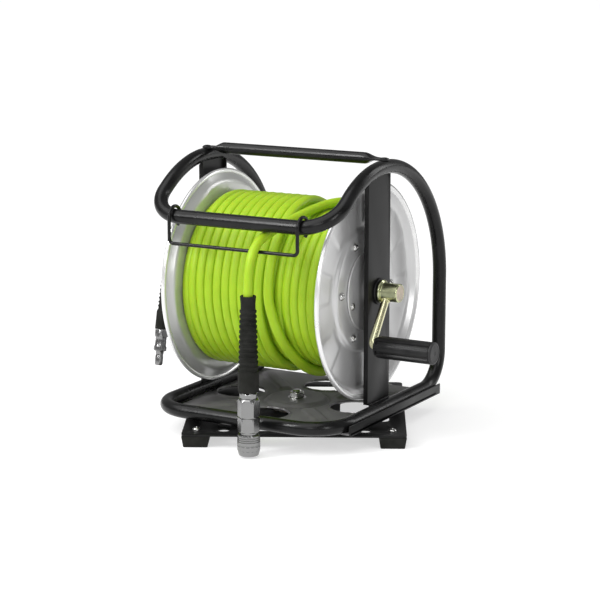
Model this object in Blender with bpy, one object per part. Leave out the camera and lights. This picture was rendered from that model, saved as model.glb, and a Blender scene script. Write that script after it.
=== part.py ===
"""Swivel-base hose reel.

A closed loop of bent tube carries a crank-turned drum of hose between two channel uprights.  The loop
is welded into a pressed pan, and the pan turns on one bolt above a square foot plate.  Lengths are in
metres, +Z is up, the crank is on the +X side and the hose leaves towards -Y.  Every piece is placed
from the swivel axis at ground level, and one empty moves that axis so that the whole reel stands
centred on the origin.
"""
import math

import bmesh
import bpy
from mathutils import Matrix, Vector

MM = 0.001
GAP = 0.3 * MM                       # clearance between pieces that touch
RUNNING = 0.5 * MM                   # clearance in a turning joint

# Drum
DRUM_Y = -8 * MM                     # drum axis, in front of the swivel axis
DRUM_Z = 164.5 * MM
FLANGE_RADIUS = 124 * MM
RIM_X = 97.6 * MM                    # centre of each rolled rim
RIM_BEAD = 2.7 * MM
DISH_X = 89.8 * MM                   # outer face of the sheet beside the hose
DISH_RADIUS = 112 * MM
BOSS_X = 93.5 * MM                   # outer face of the raised middle
BOSS_RADIUS = 69 * MM
SHEET = 1.2 * MM
CORE_RADIUS = 71.8 * MM
SHAFT_RADIUS = 8 * MM
SHAFT_BORE = 4.5 * MM
TIE_CIRCLE = 59 * MM
TIE_RADIUS = 2.5 * MM
TIE_COUNT = 6
TIE_START = 27.8                     # degrees round the drum axis
HUB_RADIUS = 46 * MM
HUB_COLLAR = 13 * MM
RIVET_CIRCLE = 38 * MM
RIVET_COUNT = 3
RIVET_START = 50                     # degrees round the drum axis

# Hose
HOSE = 10.3 * MM
WINDING_HALF = 87.9 * MM
WINDING_INNER = CORE_RADIUS + GAP
WINDING_OUTER = 100.4 * MM
WINDING_LOWER = 91.4 * MM            # where the top layer is missing
WINDING_STEP = 26.3 * MM             # the top layer ends here
LEAD_HOSE = 8.5 * MM

# Frame
TUBE_RADIUS = 8 * MM
TUBE_BORE = 6.8 * MM
SIDE_X = 115 * MM                    # middle of each side of the loop
ARCH_RADIUS = 145 * MM
ARCH_Y = DRUM_Y
ARCH_Z = DRUM_Z - 5 * MM
ARCH_END = 125                       # degrees from the rear, over the top
BAR_Y = -130 * MM                    # upper and lower front bars
TOP_BAR_Z = 251 * MM
BOTTOM_Z = 30.5 * MM
TOP_BEND = 40 * MM
FRONT_BEND = 45 * MM
REAR_BEND = 40 * MM

UPRIGHT_X = 110 * MM                 # outer face of the web
UPRIGHT_HALF = 26 * MM
UPRIGHT_LIP = 5.5 * MM
UPRIGHT_SHEET = 1.6 * MM
BUSH_RADIUS = 11.5 * MM
BUSH_FLANGE = 15 * MM

HANDLE_Z = DRUM_Z + 148.4 * MM
HANDLE_RADIUS = 6.5 * MM
HANDLE_STRAIGHT = 96 * MM
HANDLE_TAB = 107 * MM
HANDLE_END = 120 * MM
TAB_THICK = 1.6 * MM
TAB_SEAT = 0.9 * MM                  # how far the loop is flattened under each tab
TAB_HALF = 8.5 * MM
SEAT_Z = ARCH_Z + ARCH_RADIUS + TUBE_RADIUS - TAB_SEAT
SEAT_RADIUS = 14 * MM

# Base
PLATE_HALF = 124.5 * MM
PLATE_CORNER = 6 * MM
PLATE_TOP = 15 * MM
PLATE_THICK = 2 * MM
PLATE_TURN = 28                      # degrees, how far the foot plate stands turned at rest
FOOT_HALF_X = 15.5 * MM
FOOT_HALF_Y = 22 * MM
FOOT_TAPER = 2 * MM
FOOT_HEIGHT = PLATE_TOP - PLATE_THICK
FOOT_X = PLATE_HALF - FOOT_HALF_X
FOOT_Y = PLATE_HALF - FOOT_HALF_Y
BOLT_RADIUS = 5 * MM
PAN_TOP = BOTTOM_Z - TUBE_RADIUS - GAP
PAN_THICK = 2 * MM
PAN_HALF = 125.5 * MM
PAN_FRONT = -128 * MM
PAN_REAR = 118 * MM
PAN_LIP_TOP = PAN_TOP + 10.5 * MM
PAN_LIP_FRONT = -104 * MM            # the right side reaches further forward than the left
PAN_LIP_FRONT_LEFT = -76 * MM
PAN_LIP_REAR = 121 * MM
PAN_HOLE = 28 * MM
PAN_HOLE_CIRCLE = 76 * MM
DISC_TOP = PAN_TOP + 3.3 * MM
DISC_RADIUS = 36 * MM

# Crank
ARM_X = 121 * MM
ARM_RADIUS = 4 * MM
CRANK_Y = -38 * MM                   # grip axis from the drum axis
CRANK_Z = -54 * MM
GRIP_START = 127.4 * MM
GRIP_END = 198 * MM
GRIP_RADIUS = 12.5 * MM

# Wire bail
WIRE_RADIUS = 2 * MM
HOOK_RADIUS = TUBE_RADIUS + WIRE_RADIUS + 1.4 * MM
BAIL_X = 81 * MM
BAIL_Y = BAR_Y - HOOK_RADIUS
BAIL_Z = 222.8 * MM

# The loose ends of hose, as points from the drum axis
HOSE_X = 32 * MM
HOSE_ROUTE = (
    (73, 17.5, 95.5), (67.5, 8.8, 96.7), (61.5, 0, 97.1), (55.5, -10.2, 96.6), (50, -21.3, 94.8),
    (44.6, -36, 91.5), (40, -52, 87.9), (36.6, -68, 84.3), (34.2, -84, 80.7), (32.7, -98, 77.5),
    (32.2, -111, 74.6), (32, -122, 71.9), (32, -132.3, 68.1), (32, -141.4, 61.6), (32, -148, 52),
    (32, -151.8, 40), (32, -153.5, 27.4), (32, -154, 14.4),
)
SLEEVE_Y = DRUM_Y - 154 * MM
COUPLER_BOTTOM = 2.5 * MM
SLIDER_TOP = 26 * MM
COUPLER_TOP = 72.5 * MM
SLEEVE_TOP = DRUM_Z + 14.1 * MM
LEAD_X = -132 * MM
LEAD_ROUTE = (
    (-132, 6.3, 24.6), (-132, 7.9, 31.2), (-132, 8.3, 38), (-132, 7, 45), (-132, 3.3, 51.6),
    (-132, -2.6, 57.4), (-132, -10.4, 61.8), (-132, -19.4, 64.1), (-132, -28.6, 63.8),
    (-132, -37.2, 61), (-132, -44.4, 56), (-132, -49.8, 49.2), (-132, -53.4, 41),
    (-132, -55.8, 32), (-132, -57.6, 22.8), (-132, -59.2, 14.6),
)
STUB_TILT = 15                       # degrees, the inlet's stub leans back
PLUG_TILT = 11.8                     # degrees, the inlet's sleeve leans forward


# ---------------------------------------------------------------- materials and empties

def finish(name, colour, metallic, roughness):
    """A plain Principled material."""
    made = bpy.data.materials.new(name)
    made.use_nodes = True
    shader = made.node_tree.nodes["Principled BSDF"]
    shader.inputs["Base Color"].default_value = (*colour, 1)
    shader.inputs["Metallic"].default_value = metallic
    shader.inputs["Roughness"].default_value = roughness
    return made


def make_finishes():
    return {
        "black_enamel": finish("black_enamel", (0.012, 0.012, 0.014), 0.0, 0.35),
        "silver_paint": finish("silver_paint", (0.55, 0.54, 0.51), 0.6, 0.4),
        "lime_hose": finish("lime_hose", (0.42, 0.62, 0.03), 0.0, 0.45),
        "yellow_zinc": finish("yellow_zinc", (0.72, 0.66, 0.42), 1.0, 0.3),
        "bright_zinc": finish("bright_zinc", (0.66, 0.66, 0.65), 1.0, 0.28),
        "black_rubber": finish("black_rubber", (0.015, 0.015, 0.015), 0.0, 0.7),
        "black_plastic": finish("black_plastic", (0.02, 0.02, 0.02), 0.0, 0.5),
        "white_nylon": finish("white_nylon", (0.75, 0.74, 0.7), 0.0, 0.5),
    }


def hang(made, parent):
    """Parent an object.  Under a joint's empty, places still count from the swivel axis."""
    made.parent = parent
    if parent and parent.parent:
        made.matrix_parent_inverse = Matrix.Translation(-parent.location)


def empty(name, location, parent=None, turn=0.0):
    made = bpy.data.objects.new(name, None)
    bpy.context.collection.objects.link(made)
    hang(made, parent)
    made.location = location
    made.rotation_euler = (0, 0, turn)
    return made


# ---------------------------------------------------------------- mesh tools

def add_object(name, mesh, material, parent, location=(0, 0, 0), rotation=(0, 0, 0)):
    made = bpy.data.objects.new(name, mesh)
    bpy.context.collection.objects.link(made)
    hang(made, parent)
    made.location = location
    made.rotation_euler = rotation
    if material:
        mesh.materials.clear()
        mesh.materials.append(material)
    mesh.shade_smooth()
    mesh.set_sharp_from_angle(angle=math.radians(35))
    return made


def add_copies(name, mesh, material, parent, places):
    """Equal pieces that share one mesh, numbered from 1, each put in place by its own matrix."""
    for number, place in enumerate(places, 1):
        made = add_object(f"{name}_{number}", mesh, material, parent)
        made.matrix_basis = place


def mesh_from(bm, name):
    """Weld a bmesh, point its faces outwards and store it."""
    bmesh.ops.remove_doubles(bm, verts=bm.verts, dist=1e-6)
    bmesh.ops.dissolve_degenerate(bm, edges=bm.edges, dist=1e-7)
    bmesh.ops.recalc_face_normals(bm, faces=bm.faces)
    if bm.calc_volume(signed=True) < 0:
        bmesh.ops.reverse_faces(bm, faces=bm.faces)
    mesh = bpy.data.meshes.new(name)
    bm.to_mesh(mesh)
    bm.free()
    return mesh


def spin_profile(bm, profile, steps, matrix=None):
    """Turn a profile of (radius, height) points about Z.  A profile that leaves the axis is closed."""
    start = len(bm.verts)
    ring = [bm.verts.new((radius, 0, height)) for radius, height in profile]
    edges = [bm.edges.new(pair) for pair in zip(ring, ring[1:])]
    if profile[0][0] > 0 or profile[-1][0] > 0:
        edges.append(bm.edges.new((ring[-1], ring[0])))
    bmesh.ops.spin(bm, geom=ring + edges, cent=(0, 0, 0), axis=(0, 0, 1), angle=math.tau, steps=steps,
                   use_merge=True, use_duplicate=False)
    bm.verts.ensure_lookup_table()
    if matrix:
        bmesh.ops.transform(bm, matrix=matrix, verts=bm.verts[start:])


def turned(name, profile, steps, placements=(None,)):
    """A turned solid, or the separate equal solids of a cutter, each placed by its own matrix."""
    bm = bmesh.new()
    for matrix in placements:
        spin_profile(bm, profile, steps, matrix)
    return mesh_from(bm, name)


def arc(centre, radius, start, end, steps):
    """Points along an arc in a plane, angles in degrees."""
    points = []
    for step in range(steps + 1):
        angle = math.radians(start + (end - start) * step / steps)
        points.append((centre[0] + radius * math.cos(angle), centre[1] + radius * math.sin(angle)))
    return points


def rounded_rectangle(half_x, half_y, corner, steps=4, centre=(0, 0)):
    points = []
    for index, (sx, sy) in enumerate(((1, 1), (-1, 1), (-1, -1), (1, -1))):
        middle = (centre[0] + sx * (half_x - corner), centre[1] + sy * (half_y - corner))
        points += arc(middle, corner, 90 * index, 90 * index + 90, steps)
    return points


def circle(radius, steps, centre=(0, 0)):
    return arc(centre, radius, 0, 360 - 360 / steps, steps - 1)


def plate_bmesh(outlines, bottom, top):
    """A flat plate between two heights: the first outline is its edge, the others are holes."""
    curve = bpy.data.curves.new("plate", "CURVE")
    curve.dimensions = "2D"
    curve.fill_mode = "BOTH"
    curve.extrude = (top - bottom) / 2
    for outline in outlines:
        spline = curve.splines.new("POLY")
        spline.points.add(len(outline) - 1)
        for point, (x, y) in zip(spline.points, outline):
            point.co = (x, y, 0, 1)
        spline.use_cyclic_u = True
    guide = bpy.data.objects.new("plate", curve)
    bpy.context.collection.objects.link(guide)
    mesh = bpy.data.meshes.new_from_object(guide)
    bpy.data.objects.remove(guide)
    bm = bmesh.new()
    bm.from_mesh(mesh)
    bmesh.ops.translate(bm, vec=(0, 0, (top + bottom) / 2), verts=bm.verts)
    return bm


def plate(name, outlines, bottom, top):
    return mesh_from(plate_bmesh(outlines, bottom, top), name)


def rounded_path(corners, closed):
    """A path through corners given as (point, bend radius), with each bend drawn as an arc."""
    path = []
    count = len(corners)
    for index, (point, radius) in enumerate(corners):
        here = Vector(point)
        if radius == 0 or not closed and index in (0, count - 1):
            path.append(here)
            continue
        before = (Vector(corners[index - 1][0]) - here).normalized()
        after = (Vector(corners[(index + 1) % count][0]) - here).normalized()
        half = before.angle(after) / 2
        middle = here + (before + after).normalized() * radius / math.sin(half)
        start = here + before * radius / math.tan(half) - middle
        finish_at = here + after * radius / math.tan(half) - middle
        steps = max(3, round(math.degrees(start.angle(finish_at)) / 15))
        for step in range(steps + 1):
            path.append(middle + start.slerp(finish_at, step / steps).normalized() * radius)
    return path


def spline_point(points, at):
    """A point on the Catmull-Rom curve through a route, with at counted in points."""
    index = min(int(at), len(points) - 2)
    share = at - index
    first = points[max(index - 1, 0)]
    start, end = points[index], points[index + 1]
    last = points[min(index + 2, len(points) - 1)]
    leave = (end - first) * 0.5
    arrive = (last - start) * 0.5
    return (start * (1 + 2 * share) * (1 - share) ** 2 + leave * share * (1 - share) ** 2
            + end * share ** 2 * (3 - 2 * share) + arrive * share ** 2 * (share - 1))


def smooth_route(route, per_point=1.0):
    """World points read from a smooth curve through a route that is given from the drum axis."""
    points = [Vector((x * MM, y * MM + DRUM_Y, z * MM + DRUM_Z)) for x, y, z in route]
    count = round((len(points) - 1) * per_point)
    return [spline_point(points, index * (len(points) - 1) / count) for index in range(count + 1)]


def bevelled_curve(name, path, radius, resolution, closed=False):
    """A round bar, tube or cord along a path."""
    curve = bpy.data.curves.new(name, "CURVE")
    curve.dimensions = "3D"
    curve.bevel_depth = radius
    curve.bevel_resolution = resolution
    curve.use_fill_caps = not closed
    spline = curve.splines.new("POLY")
    spline.points.add(len(path) - 1)
    for point, place in zip(spline.points, path):
        point.co = (*place, 1)
    spline.use_cyclic_u = closed
    return curve


def add_curve(name, curve, material, parent):
    made = bpy.data.objects.new(name, curve)
    bpy.context.collection.objects.link(made)
    hang(made, parent)
    curve.materials.append(material)
    return made


def add_cutter(name, data, parent):
    made = bpy.data.objects.new(name, data)
    bpy.context.collection.objects.link(made)
    hang(made, parent)
    made.hide_render = True
    made.display_type = "WIRE"
    return made


def curve_to_mesh(name, curve):
    guide = bpy.data.objects.new(name, curve)
    bpy.context.collection.objects.link(guide)
    mesh = bpy.data.meshes.new_from_object(guide)
    bpy.data.objects.remove(guide)
    bm = bmesh.new()
    bm.from_mesh(mesh)
    return mesh_from(bm, name)


def boolean(target, cutter, operation="DIFFERENCE"):
    modifier = target.modifiers.new(cutter.name, "BOOLEAN")
    modifier.operation = operation
    modifier.solver = "EXACT"
    modifier.object = cutter


def along_x(sign=1):
    """Turn a piece that was drawn about Z so that it lies about X."""
    return Matrix.Rotation(math.radians(90) * sign, 4, "Y")


def drum_axis(sign=1):
    return Matrix.Translation((0, DRUM_Y, DRUM_Z)) @ along_x(sign)


def around(matrix, circle_radius, count, start=0):
    """Places evenly round an axis, for bolts and rivets."""
    places = []
    for index in range(count):
        turn = Matrix.Rotation(math.radians(start) + math.tau * index / count, 4, "Z")
        places.append(matrix @ turn @ Matrix.Translation((circle_radius, 0, 0)))
    return places


# ---------------------------------------------------------------- base

def base_opening(direction):
    """One of the four openings between the hub and arms of the foot plate."""
    inner, outer, narrow, wide, corner = 50 * MM, 106 * MM, 24 * MM, 70 * MM, 7 * MM
    corners = (((inner, -narrow, 0), corner), ((outer, -wide, 0), corner),
               ((outer, wide, 0), corner), ((inner, narrow, 0), corner))
    turn = Matrix.Rotation(math.radians(direction), 2)
    return [tuple(turn @ Vector(point.xy)) for point in rounded_path(corners, True)]


def make_base(looks, base):
    outlines = [rounded_rectangle(PLATE_HALF, PLATE_HALF, PLATE_CORNER)]
    outlines += [base_opening(direction) for direction in (0, 90, 180, 270)]
    outlines.append(circle(BOLT_RADIUS + GAP, 16))
    feet = [(x, y) for x in (-FOOT_X, FOOT_X) for y in (-FOOT_Y, FOOT_Y)]
    screw_hole = 2.6 * MM
    for x, y in feet:
        outlines.append(circle(screw_hole, 8, (x, y)))
        outlines.append(circle(7 * MM, 12, (x * 0.72, y)))
    plate_mesh = plate("base_plate", outlines, PLATE_TOP - PLATE_THICK, PLATE_TOP)
    add_object("base_plate", plate_mesh, looks["black_enamel"], base)

    places = [Matrix.Translation((x, y, 0)) for x, y in feet]
    bore = [(0, 5 * MM), (screw_hole, 5 * MM), (screw_hole, 20 * MM), (0, 20 * MM)]
    bores = add_cutter("foot_bores", turned("foot_bores", bore, 8, places), base)
    for index, place in enumerate(places):
        foot = add_object(f"rubber_foot_{index + 1}", foot_mesh(), looks["black_rubber"], base)
        foot.matrix_basis = place
        boolean(foot, bores)

    head, shank = 4.5 * MM, 2.2 * MM
    screw = [(0, PLATE_TOP + GAP + 2.6 * MM), (head * 0.6, PLATE_TOP + GAP + 2.3 * MM),
             (head, PLATE_TOP + GAP + 1 * MM), (head, PLATE_TOP + GAP), (shank, PLATE_TOP + GAP),
             (shank, 6 * MM), (0, 6 * MM)]
    add_copies("foot_screw", turned("foot_screw", screw, 12), looks["bright_zinc"], base, places)

    top = DISC_TOP + 2.4 * MM
    bolt = [(0, top + 8.5 * MM), (BOLT_RADIUS - 1 * MM, top + 8.5 * MM), (BOLT_RADIUS, top + 7.5 * MM),
            (BOLT_RADIUS, PLATE_TOP - PLATE_THICK - GAP), (10 * MM, PLATE_TOP - PLATE_THICK - GAP),
            (10 * MM, 9.5 * MM), (7 * MM, 7.2 * MM), (0, 7 * MM)]
    add_object("swivel_bolt", turned("swivel_bolt", bolt, 20), looks["bright_zinc"], base)

    hole = BOLT_RADIUS + GAP
    glide = [(hole, PLATE_TOP + GAP), (30 * MM, PLATE_TOP + GAP),
             (30 * MM, DISC_TOP - PAN_THICK - GAP), (hole, DISC_TOP - PAN_THICK - GAP)]
    add_object("glide_ring", turned("glide_ring", glide, 28), looks["white_nylon"], base)
    washer = [(hole, DISC_TOP + GAP), (11 * MM, DISC_TOP + GAP),
              (11 * MM, DISC_TOP + 2 * MM), (hole, DISC_TOP + 2 * MM)]
    add_object("swivel_washer", turned("swivel_washer", washer, 20), looks["bright_zinc"], base)
    nut_outlines = [circle(9.2 * MM, 6), circle(hole, 16)]
    nut = plate("swivel_nut", nut_outlines, top, top + 6 * MM)
    add_object("swivel_nut", nut, looks["bright_zinc"], base)


def foot_mesh():
    """A tapered rubber block."""
    bm = bmesh.new()
    levels = ((0, FOOT_TAPER), (FOOT_HEIGHT - GAP, 0))
    outlines = [rounded_rectangle(FOOT_HALF_X - inset, FOOT_HALF_Y - inset, 1.5 * MM, 2)
                for _, inset in levels]
    rings = [[bm.verts.new((x, y, height)) for x, y in outline]
             for (height, _), outline in zip(levels, outlines)]
    bm.faces.new(reversed(rings[0]))
    bm.faces.new(rings[1])
    edges = [bm.edges.get(pair) for ring in rings for pair in zip(ring, ring[1:] + ring[:1])]
    bmesh.ops.bridge_loops(bm, edges=edges)
    return mesh_from(bm, "rubber_foot")


# ---------------------------------------------------------------- frame

def frame_path():
    """The closed loop: upper front bar, an arch down each side, and the lower front bar."""
    def arch_points(x):
        points = []
        steps = 9
        for step in range(steps + 1):
            angle = math.radians(ARCH_END * step / steps)
            points.append((x, ARCH_Y + ARCH_RADIUS * math.cos(angle),
                           ARCH_Z + ARCH_RADIUS * math.sin(angle)))
        return points

    rear_y = ARCH_Y + ARCH_RADIUS
    corners = [((SIDE_X, BAR_Y, TOP_BAR_Z), TOP_BEND)]
    corners += [(point, 0) for point in reversed(arch_points(SIDE_X))]
    corners += [((SIDE_X, rear_y, BOTTOM_Z), REAR_BEND), ((SIDE_X, BAR_Y, BOTTOM_Z), FRONT_BEND),
                ((-SIDE_X, BAR_Y, BOTTOM_Z), FRONT_BEND), ((-SIDE_X, rear_y, BOTTOM_Z), REAR_BEND)]
    corners += [(point, 0) for point in arch_points(-SIDE_X)]
    corners.append(((-SIDE_X, BAR_Y, TOP_BAR_Z), TOP_BEND))
    return rounded_path(corners, True)


def make_frame(looks, frame):
    path = frame_path()
    tube_mesh = curve_to_mesh("frame_tube", bevelled_curve("outer", path, TUBE_RADIUS, 4, True))
    tube = add_object("frame_tube", tube_mesh, looks["black_enamel"], frame)
    bore_mesh = curve_to_mesh("tube_bore", bevelled_curve("bore", path, TUBE_BORE, 2, True))
    boolean(tube, add_cutter("tube_bore", bore_mesh, frame))
    drain = turned("tube_drain", [(0, -20 * MM), (2 * MM, -20 * MM), (2 * MM, 0), (0, 0)], 8)
    cutter = add_cutter("tube_drain", drain, frame)
    cutter.location = (0, BAR_Y, BOTTOM_Z)
    boolean(tube, cutter)
    seat = [(0, SEAT_Z), (SEAT_RADIUS, SEAT_Z), (SEAT_RADIUS, SEAT_Z + 9 * MM), (0, SEAT_Z + 9 * MM)]
    seats = turned("handle_seats", seat, 16,
                   [Matrix.Translation((x, DRUM_Y, 0)) for x in (-SIDE_X, SIDE_X)])
    boolean(tube, add_cutter("handle_seats", seats, frame))

    make_pan(looks, frame)
    clearance = curve_to_mesh("tube_clearance",
                              bevelled_curve("clearance", path, TUBE_RADIUS + GAP, 4, True))
    clear_of_tube = add_cutter("tube_clearance", clearance, frame)
    for name, side in (("left", -1), ("right", 1)):
        make_upright(looks, frame, name, side, clear_of_tube)
    make_handle(looks, frame)


def make_pan(looks, frame):
    """The pressed pan under the loop: a raised middle, four round holes and two turned-up sides."""
    edge = [((PAN_HALF, PAN_REAR), 8 * MM), ((PAN_HALF, PAN_LIP_FRONT), 1 * MM),
            ((110 * MM, PAN_LIP_FRONT), 8 * MM), ((74 * MM, PAN_FRONT), 20 * MM),
            ((-74 * MM, PAN_FRONT), 20 * MM), ((-103 * MM, -111 * MM), 12 * MM),
            ((-115 * MM, -86 * MM), 6 * MM), ((-PAN_HALF, PAN_LIP_FRONT_LEFT), 2 * MM),
            ((-PAN_HALF, PAN_REAR), 8 * MM)]
    corners = [((x, y, 0), bend) for (x, y), bend in edge]
    outlines = [[tuple(point.xy) for point in rounded_path(corners, True)]]
    outlines += [circle(PAN_HOLE, 20, (x * PAN_HOLE_CIRCLE, y * PAN_HOLE_CIRCLE))
                 for x, y in ((1, 0), (0, 1), (-1, 0), (0, -1))]
    outlines.append(circle(DISC_RADIUS - 2.5 * MM, 32))
    bottom = PAN_TOP - PAN_THICK
    pan = add_object("pan", plate("pan", outlines, bottom, PAN_TOP), looks["black_enamel"], frame)
    hole = BOLT_RADIUS + RUNNING
    disc = [(hole, DISC_TOP), (DISC_RADIUS - 4 * MM, DISC_TOP), (DISC_RADIUS, PAN_TOP - 0.2 * MM),
            (DISC_RADIUS, bottom + 0.2 * MM), (DISC_RADIUS - 4 * MM, DISC_TOP - PAN_THICK),
            (hole, DISC_TOP - PAN_THICK)]
    boolean(pan, add_cutter("pan_disc", turned("pan_disc", disc, 32), frame), "UNION")
    for side, front in ((-1, PAN_LIP_FRONT_LEFT), (1, PAN_LIP_FRONT)):
        middle_y = (front + PAN_LIP_REAR) / 2
        half_y = (PAN_LIP_REAR - front) / 2
        outline = rounded_rectangle(0.9 * MM, half_y, 0.5 * MM, 1,
                                    (side * (PAN_HALF - 0.9 * MM), middle_y))
        lip = plate("pan_lip", [outline], bottom + 0.2 * MM, PAN_LIP_TOP)
        boolean(pan, add_cutter(f"pan_lip_{side}", lip, frame), "UNION")


def make_upright(looks, frame, name, side, clear_of_tube):
    """A channel with its lips turned towards the drum, cut to stand between the tubes."""
    outer, inner, half = UPRIGHT_X, UPRIGHT_X - UPRIGHT_SHEET, UPRIGHT_HALF
    lip = UPRIGHT_X - UPRIGHT_LIP
    section = [(outer, -half), (outer, half), (lip, half), (lip, half - UPRIGHT_SHEET),
               (inner, half - UPRIGHT_SHEET), (inner, UPRIGHT_SHEET - half),
               (lip, UPRIGHT_SHEET - half), (lip, -half)]
    foot_z = BOTTOM_Z + TUBE_RADIUS + GAP
    bm = plate_bmesh([[(side * x, y + DRUM_Y) for x, y in section]], foot_z, ARCH_Z + ARCH_RADIUS)
    upright = add_object(f"upright_{name}", mesh_from(bm, f"upright_{name}"),
                         looks["black_enamel"], frame)
    boolean(upright, clear_of_tube)
    crown = curve_to_mesh(f"crown_{name}", crown_curve(side))
    boolean(upright, add_cutter(f"upright_crown_{name}", crown, frame))
    hole_radius = BUSH_RADIUS + GAP
    hole = turned("bush_hole", [(0, -20 * MM), (hole_radius, -20 * MM), (hole_radius, 20 * MM),
                                (0, 20 * MM)], 24,
                  [Matrix.Translation((side * UPRIGHT_X, 0, 0)) @ drum_axis()])
    boolean(upright, add_cutter(f"bush_hole_{name}", hole, frame))

    start, end = UPRIGHT_X - 3.5 * MM, UPRIGHT_X + GAP
    bush = [(SHAFT_RADIUS + GAP, start), (BUSH_RADIUS, start), (BUSH_RADIUS, end),
            (BUSH_FLANGE, end), (BUSH_FLANGE, end + 2 * MM), (SHAFT_RADIUS + GAP, end + 2 * MM)]
    add_object(f"bush_{name}", turned(f"bush_{name}", bush, 24, [drum_axis(side)]),
               looks["black_plastic"], frame)


def crown_curve(side):
    """A broad band just under the top of the arch, which trims the upright's lips round."""
    path = []
    steps = 6
    for step in range(steps + 1):
        angle = math.radians(70 + 40 * step / steps)
        radius = ARCH_RADIUS + 1 * MM
        path.append((side * (UPRIGHT_X - 6 * MM), ARCH_Y + radius * math.cos(angle),
                     ARCH_Z + radius * math.sin(angle)))
    return bevelled_curve("crown", path, 6 * MM, 2)


def make_handle(looks, frame):
    """A round bar whose flattened ends lie over the loop, with a bolt through each."""
    bm = bmesh.new()
    steps = 16
    tab_z = SEAT_Z + GAP + TAB_THICK / 2 - HANDLE_Z
    round_end = [HANDLE_RADIUS * math.cos(math.tau * (i + 0.5) / steps) for i in range(steps)]
    stations = ((-HANDLE_END, 1), (-HANDLE_TAB, 1), (-HANDLE_STRAIGHT, 0), (HANDLE_STRAIGHT, 0),
                (HANDLE_TAB, 1), (HANDLE_END, 1))
    rings = []
    for x, flat in stations:
        ring = []
        for index in range(steps):
            angle = math.tau * (index + 0.5) / steps
            y, z = round_end[index], HANDLE_RADIUS * math.sin(angle)
            if flat:
                y = TAB_HALF * max(-1, min(1, 1.3 * math.cos(angle)))
                z = tab_z + math.copysign(TAB_THICK / 2, math.sin(angle))
            ring.append(bm.verts.new((x, y + DRUM_Y, z + HANDLE_Z)))
        rings.append(ring)
    for one, two in zip(rings, rings[1:]):
        for index in range(steps):
            after = (index + 1) % steps
            bm.faces.new((one[index], one[after], two[after], two[index]))
    bm.faces.new(rings[0])
    bm.faces.new(rings[-1])
    handle = add_object("handle_bar", mesh_from(bm, "handle_bar"), looks["black_enamel"], frame)
    top = HANDLE_Z + tab_z + TAB_THICK / 2
    places = [Matrix.Translation((x, DRUM_Y, 0)) for x in (-SIDE_X, SIDE_X)]
    hole = [(0, top - 9 * MM), (2.6 * MM, top - 9 * MM), (2.6 * MM, top + 5 * MM), (0, top + 5 * MM)]
    boolean(handle, add_cutter("handle_holes", turned("handle_holes", hole, 10, places), frame))
    head = top + GAP
    bolt = [(0, head + 1.5 * MM), (3 * MM, head + 1.3 * MM), (4.6 * MM, head + 0.5 * MM),
            (4.6 * MM, head), (2.3 * MM, head), (2.3 * MM, top - TAB_THICK), (0, top - TAB_THICK)]
    add_copies("handle_bolt", turned("handle_bolt", bolt, 10), looks["black_enamel"], frame, places)


# ---------------------------------------------------------------- drum

def flange_profile():
    """The dished sheet with a rolled rim, as (radius, distance from the middle of the drum)."""
    hub = SHAFT_RADIUS + GAP
    face = [(hub, BOSS_X), (BOSS_RADIUS - 4 * MM, BOSS_X), (BOSS_RADIUS, DISH_X),
            (DISH_RADIUS, DISH_X), (FLANGE_RADIUS - 4.6 * MM, RIM_X + 0.6 * MM)]
    bead = arc((FLANGE_RADIUS - RIM_BEAD, RIM_X), RIM_BEAD, 150, -130, 6)
    back = [(DISH_RADIUS + 0.6 * MM, DISH_X - SHEET), (BOSS_RADIUS - 0.6 * MM, DISH_X - SHEET),
            (BOSS_RADIUS - 4.6 * MM, BOSS_X - SHEET), (hub, BOSS_X - SHEET)]
    return face + bead + back


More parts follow.
